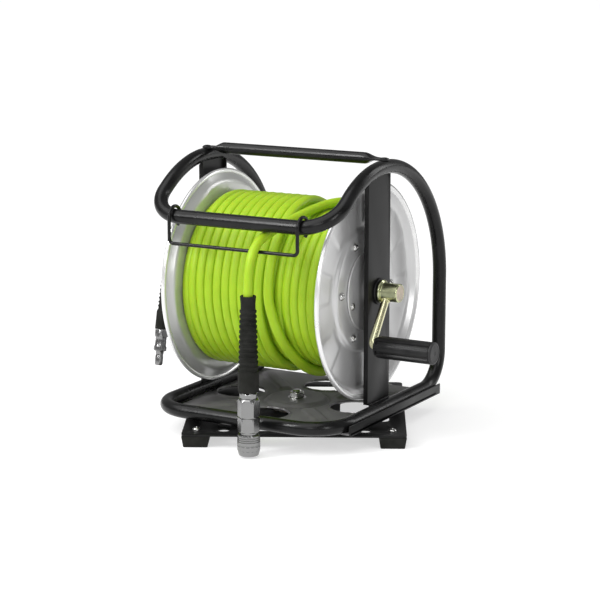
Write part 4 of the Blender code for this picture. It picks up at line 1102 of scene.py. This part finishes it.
class REEL_OT_pan(ReelOperator, bpy.types.Operator):
    """The pressed pan: raised disc, diagonal swages, rolled holes and turned-up sides"""
    bl_idname = "reel.pan"
    bl_label = "Pan"

    def execute(self, context):
        edge = (((125.5, 118), 8), ((125.5, -104), 1), ((110, -104), 8), ((74, -128), 20),
                ((-74, -128), 20), ((-103, -111), 12), ((-115, -86), 6), ((-125.5, -76), 2),
                ((-125.5, 118), 8))
        corners = [((x, y, 0), bend) for (x, y), bend in edge]
        outline = [(p.x, p.y) for p in soft(corners, True, 8)]
        reach_x, reach_y = 73, 74       # cells of the grid each way
        grid = {}
        holes = [(x, y, PAN_HOLE_RADIUS) for x, y in PAN_HOLES] + [(0, 0, 5.5)]

        def nearest_edge(x, y):
            """How far a point is inside the outline, and the point on the outline nearest to it."""
            best, spot, inside = 1e9, None, False
            previous = outline[-1]
            for point in outline:
                ax, ay = previous
                bx, by = point
                if (ay > y) != (by > y) and x < (bx - ax) * (y - ay) / (by - ay) + ax:
                    inside = not inside
                dx, dy = bx - ax, by - ay
                share = max(0, min(1, ((x - ax) * dx + (y - ay) * dy) / (dx * dx + dy * dy + 1e-12)))
                px, py = ax + dx * share, ay + dy * share
                distance = math.hypot(x - px, y - py)
                if distance < best:
                    best, spot = distance, (px, py)
                previous = point
            return (best if inside else -best), spot

        bm = bmesh.new()
        for i in range(-reach_x, reach_x + 1):
            for j in range(-reach_y, reach_y + 1):
                x, y = i * PAN_CELL, j * PAN_CELL - 4
                depth, spot = 99.0, None
                if abs(x) > 60 or y < -70 or y > 108:
                    depth, spot = nearest_edge(x, y)
                for hole_x, hole_y, hole_r in holes:
                    away = math.hypot(x - hole_x, y - hole_y)
                    if away - hole_r < depth:
                        depth = away - hole_r
                        scale = hole_r / max(away, 1e-6)
                        spot = (hole_x + (x - hole_x) * scale, hole_y + (y - hole_y) * scale)
                if depth < -PAN_SNAP * PAN_CELL:
                    continue
                if depth < PAN_SNAP * PAN_CELL:
                    x, y = spot
                grid[i, j] = bm.verts.new(PIVOT + Vector((x, y, PAN_TOP + pan_height(x, y))) * MM)
        for (i, j), corner in grid.items():
            ring = [corner] + [grid.get(key) for key in ((i + 1, j), (i + 1, j + 1), (i, j + 1))]
            if all(ring):
                bm.faces.new(ring)
        loners = [vertex for vertex in bm.verts if not vertex.link_faces]
        bmesh.ops.delete(bm, geom=loners, context="VERTS")
        bmesh.ops.solidify(bm, geom=bm.faces[:], thickness=-1.9 * MM)
        bmesh.ops.recalc_face_normals(bm, faces=bm.faces)
        for side in (-1, 1):
            front = -104 if side > 0 else -76
            section = soft([((x, z, 0), bend) for x, z, bend in
                            ((125.5, 20.4, 0.9), (125.5, 32.7, 0.8), (123.8, 32.7, 0.8),
                             (123.8, 20.4, 0.5))], True, 30)
            rings = []
            for y, shrink in ((front, 0.35), (front + 0.3, 0), (120.7, 0), (121, 0.35)):
                rings.append([PIVOT + Vector((side * (p.x - shrink * (1 if p.x > 124.6 else -1)), y,
                                              p.y - shrink * (1 if p.y > 26 else -1))) * MM
                              for p in section])
            start = len(bm.faces)
            skin(bm, rings)
            bm.faces.ensure_lookup_table()
            bmesh.ops.recalc_face_normals(bm, faces=bm.faces[start:])
        mesh = bpy.data.meshes.new("pressed_pan")
        bm.to_mesh(mesh)
        bm.free()
        piece("pressed_pan", mesh, "frame", "pan_enamel", ("pan",), 50)
        # The turned-up sides keep the plain black enamel, without the pan's painted sheen
        second_finish(mesh, "sheet_enamel", lambda at: abs(at.x - PIVOT.x) > PAN_SIDE_FROM * MM)
        return {"FINISHED"}


class REEL_OT_base(ReelOperator, bpy.types.Operator):
    """Foot plate, rubber feet and screws, and the bolt, ring, washer and nut of the swivel"""
    bl_idname = "reel.base"
    bl_label = "Swivel base"

    def execute(self, context):
        edge = context.scene.reel_frame.plate_edge / MM
        piece("foot_plate", softened("base_plate", "foot_plate", edge), "base", "sheet_enamel",
              ("base_plate",), 40)
        for number in range(1, 5):
            piece(f"moulded_foot_{number}", softened(f"rubber_foot_{number}", "foot", 0.7), "base",
                  "moulded_rubber", (f"rubber_foot_{number}",), 40)
        top = 15.3
        screw = [(0, top + 2.0), (0.8, top + 2.0), (1.2, top + 2.65), (2.2, top + 2.5), (3.4, top + 1.9),
                 (4.2, top + 1.1), (4.5, top + 0.4), (4.5, top), (2.2, top), (2.2, 6), (0, 6)]
        spots = [middle(f"foot_screw_{number}") for number in range(1, 5)]
        mesh = on_points("plate_screws", turned("screw", [screw], Matrix(), 32), "bright_plate",
                         [(spot.x, spot.y, 0) for spot in spots])
        piece("plate_screws", mesh, "base", "bright_plate",
              tuple(f"foot_screw_{number}" for number in range(1, 5)), 40)
        place = Matrix.Translation(PIVOT)
        bolt_top = 36.4
        thread = []
        ridge = bolt_top - 1.4
        while ridge > 27:
            thread += [(4.98, ridge), (4.98, ridge - 0.15), (4.35, ridge - 0.62), (4.35, ridge - 0.75)]
            ridge -= 1.25
        bolt = [(0, bolt_top), (3.9, bolt_top), (4.4, bolt_top - 0.5)] + thread
        bolt += [(5, 26), (5, 12.7), (9.6, 12.7), (10, 12.3), (10, 9.5), (7, 7.2), (0, 7)]
        piece("swivel_bolt_threaded", turned("bolt", [bolt], place, 48), "base", "bright_plate",
              ("swivel_bolt",), 30)

        base = 28.0
        nut = [(5.3, base), (8.3, base), (8.9, base + 0.5), (9.2, base + 1.0), (9.2, base + 4.6),
               (8.9, base + 5.1), (7.9, base + 5.9), (6.6, base + 6), (5.9, base + 5.7), (5.3, base + 5.2)]
        mesh = turned("nut", [nut], place, 96, six_flats(7.97))
        piece("swivel_nut_hexagon", mesh, "base", "bright_plate", ("swivel_nut",), 30)
        washer = rounded_profile([(5.3, 25.8, 0), (10.8, 25.8, 0.2), (11, 26, 0.2), (11, 27.3, 0.3),
                                  (10.7, 27.5, 0.2), (5.4, 27.5, 0), (5.3, 27.4, 0)])
        piece("swivel_washer_flat", turned("washer", [washer], place, 64), "base", "bright_plate",
              ("swivel_washer",), 30)
        low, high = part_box("glide_ring")
        low, high = low[2] / MM, high[2] / MM
        glide = rounded_profile([(5.3, low, 0), (29.6, low, 0.4), (30, low + 0.4, 0.3),
                                 (30, high - 0.5, 0.4), (29.5, high, 0.4), (5.3, high, 0)])
        piece("nylon_glide_ring", turned("glide", [glide], place, 72), "base", "natural_nylon",
              ("glide_ring",), 30)
        return {"FINISHED"}


RIM_FROM = 118.2        # radius at which the flange's rolled rim begins, in millimetres
# A rib stands this many degrees from the back: upwards on the left flange, downwards on the right
RIB_TURN = 54.5


class REEL_OT_flanges(ReelOperator, bpy.types.Operator):
    """The pressed flanges, with their raised ribs, boss and rolled rims"""
    bl_idname = "reel.flanges"
    bl_label = "Flanges"

    def execute(self, context):
        sizes = context.scene.reel_drum
        rise, count = sizes.rib_height / MM, sizes.rib_count
        face = [((8.3, 93.5, 0), 0), ((67.5, 93.5, 0), 4), ((71.5, 89.8, 0), 4), ((111, 89.8, 0), 9),
                ((117.2, 97.4, 0), 1.6)]
        outer = [(p.x, p.y) for p in soft(face + [((119.0, 98.9, 0), 0)], False, 9)]
        fine = []
        for one, two in zip(outer, outer[1:]):
            pieces_of = max(1, int((two[0] - one[0]) / 2.5))
            fine += [(one[0] + (two[0] - one[0]) * k / pieces_of,
                      one[1] + (two[1] - one[1]) * k / pieces_of) for k in range(pieces_of)]
        bead = [(121.3 + 2.7 * math.cos(math.radians(a)), 97.6 + 2.7 * math.sin(math.radians(a)))
                for a in range(140, -150, -20)]
        back = [(radius, height - 1.2) for radius, height in reversed(fine) if radius < 116.5]
        profile = fine + bead + back
        steps = 288
        for name, place in SIDES:
            centre = -RIB_TURN if name == "right" else RIB_TURN
            rings = []
            for radius, height in profile:
                ring = []
                for step in range(steps):
                    angle = math.tau * step / steps
                    # Angle about the drum axis, from the back over the top
                    world = place.to_3x3() @ Vector((math.cos(angle), math.sin(angle), 0))
                    turn = math.degrees(math.atan2(world.z, world.y)) - centre
                    off = abs((turn + 180 / count) % (360 / count) - 180 / count)
                    rib = rise * (1 - smoothstep(8.6, 12.4, off))
                    rib *= smoothstep(75, 79.5, radius) * (1 - smoothstep(106, 111, radius))
                    ring.append(place @ Vector((radius * MM * math.cos(angle),
                                                radius * MM * math.sin(angle), (height + rib) * MM)))
                rings.append(ring)
            bm = bmesh.new()
            skin(bm, rings, looped=True)
            mesh = close_mesh(bm, f"pressed_flange_{name}")
            piece(f"pressed_flange_{name}", mesh, "drum", "silver_coat",
                  (f"flange_{name}",), 50)
            # The rim's faces take the paler finish, a painted highlight
            second_finish(mesh, "rim_painted_highlight", lambda at: (at - AXIS).yz.length > RIM_FROM * MM)
        return {"FINISHED"}


class REEL_OT_hubs(ReelOperator, bpy.types.Operator):
    """Hub plates, rivets, tie bolts, the drum core and the shaft"""
    bl_idname = "reel.hubs"
    bl_label = "Hubs and shaft"

    def execute(self, context):
        plate = rounded_profile([(8.3, 93.8, 0), (45.4, 93.8, 0.2), (46, 94.3, 0.4), (46, 95.4, 0.6),
                                 (45.2, 95.8, 0.5), (15.5, 95.8, 1.2), (13, 98.4, 1.0),
                                 (13, 104.7, 0.6), (12.2, 105.5, 0.5), (8.9, 105.5, 0.3),
                                 (8.3, 105, 0)])
        back, front = 93.5 - 1.5, 93.5 + 2.6
        rivet = [(0, front + 2.0), (1.4, front + 1.93), (2.6, front + 1.6), (3.5, front + 1.1),
                 (4.1, front + 0.4), (4.2, front), (2.5, front), (2.5, back), (4, back),
                 (4, back - 0.9), (3.7, back - 1.2), (0, back - 1.2)]
        for name, place in SIDES:
            piece(f"hub_plate_{name}", turned("hub", [plate], place, 96), "drum", "silver_coat",
                  (f"hub_{name}",), 40)
            mesh = ring_of(f"hub_rivets_{name}", turned("rivet", [rivet], Matrix(), 28),
                           "bright_plate", 38, 3, 50, place)
            piece(f"hub_rivets_{name}", mesh, "drum", "bright_plate",
                  tuple(f"hub_rivet_{name}_{number}" for number in (1, 2, 3)), 40)
        end = 93.8
        half = [(0, end + 2.4), (0.9, end + 2.4), (1.3, end + 3.3), (2.2, end + 3.15), (3.2, end + 2.6),
                (4.0, end + 1.8), (4.2, end + 1.2), (4.5, end + 0.9), (4.5, end), (2.5, end)]
        rod = half + [(radius, -height) for radius, height in reversed(half)]
        mesh = ring_of("tie_bolts", turned("tie", [rod], Matrix(), 28), "bright_plate", 59, 6, 27.8,
                       TO_DRUM)
        piece("tie_bolts", mesh, "drum", "bright_plate",
              tuple(f"tie_bolt_{number}" for number in range(1, 7)), 40)
        shaft = rounded_profile([(0, 133, 0), (7.2, 133, 0.4), (8, 132.2, 0.4), (8, -135.2, 0.3),
                                 (7.4, -136, 0.3), (4.9, -136, 0.2), (4.5, -135.6, 0),
                                 (4.5, -60, 0), (0, -57, 0)])
        piece("hollow_shaft", turned("shaft", [shaft], TO_DRUM, 48), "drum", "bright_plate",
              ("drum_shaft",), 40)
        core = rounded_profile([(70.6, -88.3, 0), (71.8, -88.3, 0), (71.8, 88.3, 0), (70.6, 88.3, 0)])
        piece("rolled_core", turned("core", [core], TO_DRUM, 96), "drum", "silver_coat",
              ("drum_core",), 40)
        return {"FINISHED"}


# The arm is this much thicker outside the grip than on the grip's spindle, in millimetres
ARM_SWELL = 0.6


class REEL_OT_crank(ReelOperator, bpy.types.Operator):
    """Crank boss, cranked arm and its weld"""
    bl_idname = "reel.crank"
    bl_label = "Crank"

    def execute(self, context):
        boss = rounded_profile([(8.3, 112.9, 0), (12.6, 112.9, 0.8), (13.5, 113.8, 0.8),
                                (13.5, 115.4, 0.9), (12.2, 116.4, 0.8), (10.6, 116.8, 0.5),
                                (10.5, 120, 0), (10.5, 135.6, 0.5), (9.8, 136.3, 0.3),
                                (8.9, 136.5, 0.2), (8.8, 136.2, 0), (0, 136.2, 0), (0, 133.6, 0),
                                (8.3, 133.6, 0), (8.3, 113.1, 0)])
        bm = bmesh.new()
        lathe(bm, boss, TO_DRUM, 72)
        mesh = close_mesh(bm, "crank_boss")
        piece("crank_boss", mesh, "drum", "boss_zinc", ("crank_hub",), 35)
        # The shaft's end shows bare in the middle of the boss
        second_finish(mesh, "cut_steel", lambda at: at.x > AXIS.x + 136 * MM
                      and (at - AXIS).yz.length < 8.7 * MM)
        # The arm runs out from the boss and turns along the axis of the grip
        arm_x, throw_y, throw_z = 121, -38, -54
        start = 10.2 / math.hypot(throw_y, throw_z)
        corners = [((arm_x, throw_y * start, throw_z * start), 0), ((arm_x, throw_y, throw_z), 6.2),
                   ((194.5, throw_y, throw_z), 0)]
        path = [AXIS + point * MM for point in soft(corners, False, 7)]
        arm = grow(bar_tree, "crank_arm", guide_line(path),
                   {"Radius": 4 * MM, "Sides": 28, "Finish": finish("yellow_zinc")})
        for vertex in arm.vertices:
            inner = 1 - smoothstep(123, 127, (vertex.co.x - AXIS.x) / MM)
            vertex.co += vertex.normal * (ARM_SWELL * inner * MM)
        piece("cranked_arm", arm, "drum", "yellow_zinc", ("crank_arm",), 50)
        boss_radius, bead_circle = 10.5, 4.3
        out = Vector((0, throw_y, throw_z)).normalized()
        across = Vector((1, 0, 0)).cross(out)
        ring = []
        for step in range(17):
            angle = math.tau * step / 16
            along = Vector((math.cos(angle), 0, 0)) + across * math.sin(angle)
            lift = math.sqrt(boss_radius ** 2 - (bead_circle * math.sin(angle)) ** 2)
            ring.append(AXIS + (Vector((arm_x, 0, 0)) + out * (lift + 0.2) + along * bead_circle) * MM)
        weld = grow(weld_tree, "weld", guide_line(ring),
                    {"Bead": 1.1 * MM, "Pitch": 1.0 * MM, "Seed": 9, "Finish": finish("yellow_zinc")})
        piece("crank_weld", weld, "drum", "yellow_zinc", (), 60)
        return {"FINISHED"}


class REEL_OT_grip(ReelOperator, bpy.types.Operator):
    """The fluted crank grip and its end cap"""
    bl_idname = "reel.grip"
    bl_label = "Grip"

    def execute(self, context):
        place = Matrix.Translation(GRIP) @ Matrix.Rotation(math.radians(90), 4, "Y")

        def fluted(angle, radius, height):
            if radius < 10 or height < 130.2:
                return radius
            wave = math.cos(angle * 6 + 0.9)
            depth = 2.3 * smoothstep(0.2, 0.5, wave) * (1 - smoothstep(193.2, 194.6, height))
            return radius - depth

        body = [(4.3, 127.4), (10.0, 127.4), (10.9, 127.8), (11.2, 128.6), (11.2, 130), (11.3, 130.3),
                (12.1, 130.6), (12.4, 131.4), (12.5, 140), (12.5, 160), (12.5, 180), (12.5, 192.6),
                (12.5, 193.4), (12.5, 194.6), (12.2, 195), (4.3, 195)]
        piece("fluted_grip", turned("grip", [body], place, 144, fluted), "grip", "moulded_plastic",
              ("crank_grip",), 30)
        cap = [(0, 197.3), (2.2, 197.3), (2.6, 197.6), (9.4, 197.7), (9.9, 198), (11.2, 198),
               (12.1, 197.5), (12.5, 196.7), (12.5, 195.6), (12.1, 195.3), (0, 195.3)]
        piece("grip_end_cap", turned("cap", [cap], place, 72), "grip", "moulded_grey_cap",
              ("grip_cap",), 30)
        return {"FINISHED"}


class REEL_OT_bail(ReelOperator, bpy.types.Operator):
    """The wire bow that hangs on the upper front bar"""
    bl_idname = "reel.bail"
    bl_label = "Wire bail"

    def execute(self, context):
        radius = context.scene.reel_frame.wire_radius
        hook = 8 + radius / MM + 1.4
        right = []
        for step in range(33):
            angle = math.radians(-60 + 240 * step / 32)
            right.append((81, BAR_Y + hook * math.cos(angle), BAR_Z + hook * math.sin(angle)))
        drop = BAR_Y - hook
        corners = [(point, 0) for point in right] + [((81, drop, 222.8), 5), ((-81, drop, 222.8), 5)]
        corners += [((-x, y, z), 0) for x, y, z in reversed(right)]
        path = [PIVOT + point * MM for point in soft(corners, False, 8)]
        mesh = grow(bar_tree, "wire_bow", guide_line(path),
                    {"Radius": radius, "Sides": 16, "Finish": finish("tube_enamel")})
        piece("wire_bow", mesh, "bail", "tube_enamel", ("wire_bail",), 50)
        return {"FINISHED"}


OPERATORS = (REEL_OT_stage, REEL_OT_hoses, REEL_OT_inlet, REEL_OT_tube, REEL_OT_welds, REEL_OT_handle,
             REEL_OT_uprights, REEL_OT_pan, REEL_OT_base, REEL_OT_flanges, REEL_OT_hubs,
             REEL_OT_crank, REEL_OT_grip, REEL_OT_bail)
GROUPS = (("reel_hose", ReelHose), ("reel_frame", ReelFrame), ("reel_drum", ReelDrum),
          ("reel_fittings", ReelFittings))


class REEL_PT_sidebar(bpy.types.Panel):
    """Sizes, colours and the buttons that build each piece"""
    bl_idname = "REEL_PT_sidebar"
    bl_label = "Hose reel"
    bl_space_type = "VIEW_3D"
    bl_region_type = "UI"
    bl_category = "Reel"

    def draw(self, context):
        for name, group in GROUPS:
            box = self.layout.box()
            for key in group.__annotations__:
                box.prop(getattr(context.scene, name), key)
        for operator in OPERATORS:
            self.layout.operator(operator.bl_idname)


def register():
    for name, group in GROUPS:
        bpy.utils.register_class(group)
        setattr(bpy.types.Scene, name, PointerProperty(type=group))
    for operator in OPERATORS:
        bpy.utils.register_class(operator)
    bpy.utils.register_class(REEL_PT_sidebar)


def unregister():
    bpy.utils.unregister_class(REEL_PT_sidebar)
    for operator in reversed(OPERATORS):
        bpy.utils.unregister_class(operator)
    for name, group in reversed(GROUPS):
        delattr(bpy.types.Scene, name)
        bpy.utils.unregister_class(group)


def main():
    register()
    for operator in OPERATORS:
        area, name = operator.bl_idname.split(".")
        getattr(getattr(bpy.ops, area), name)()


if __name__ == "__main__":
    main()
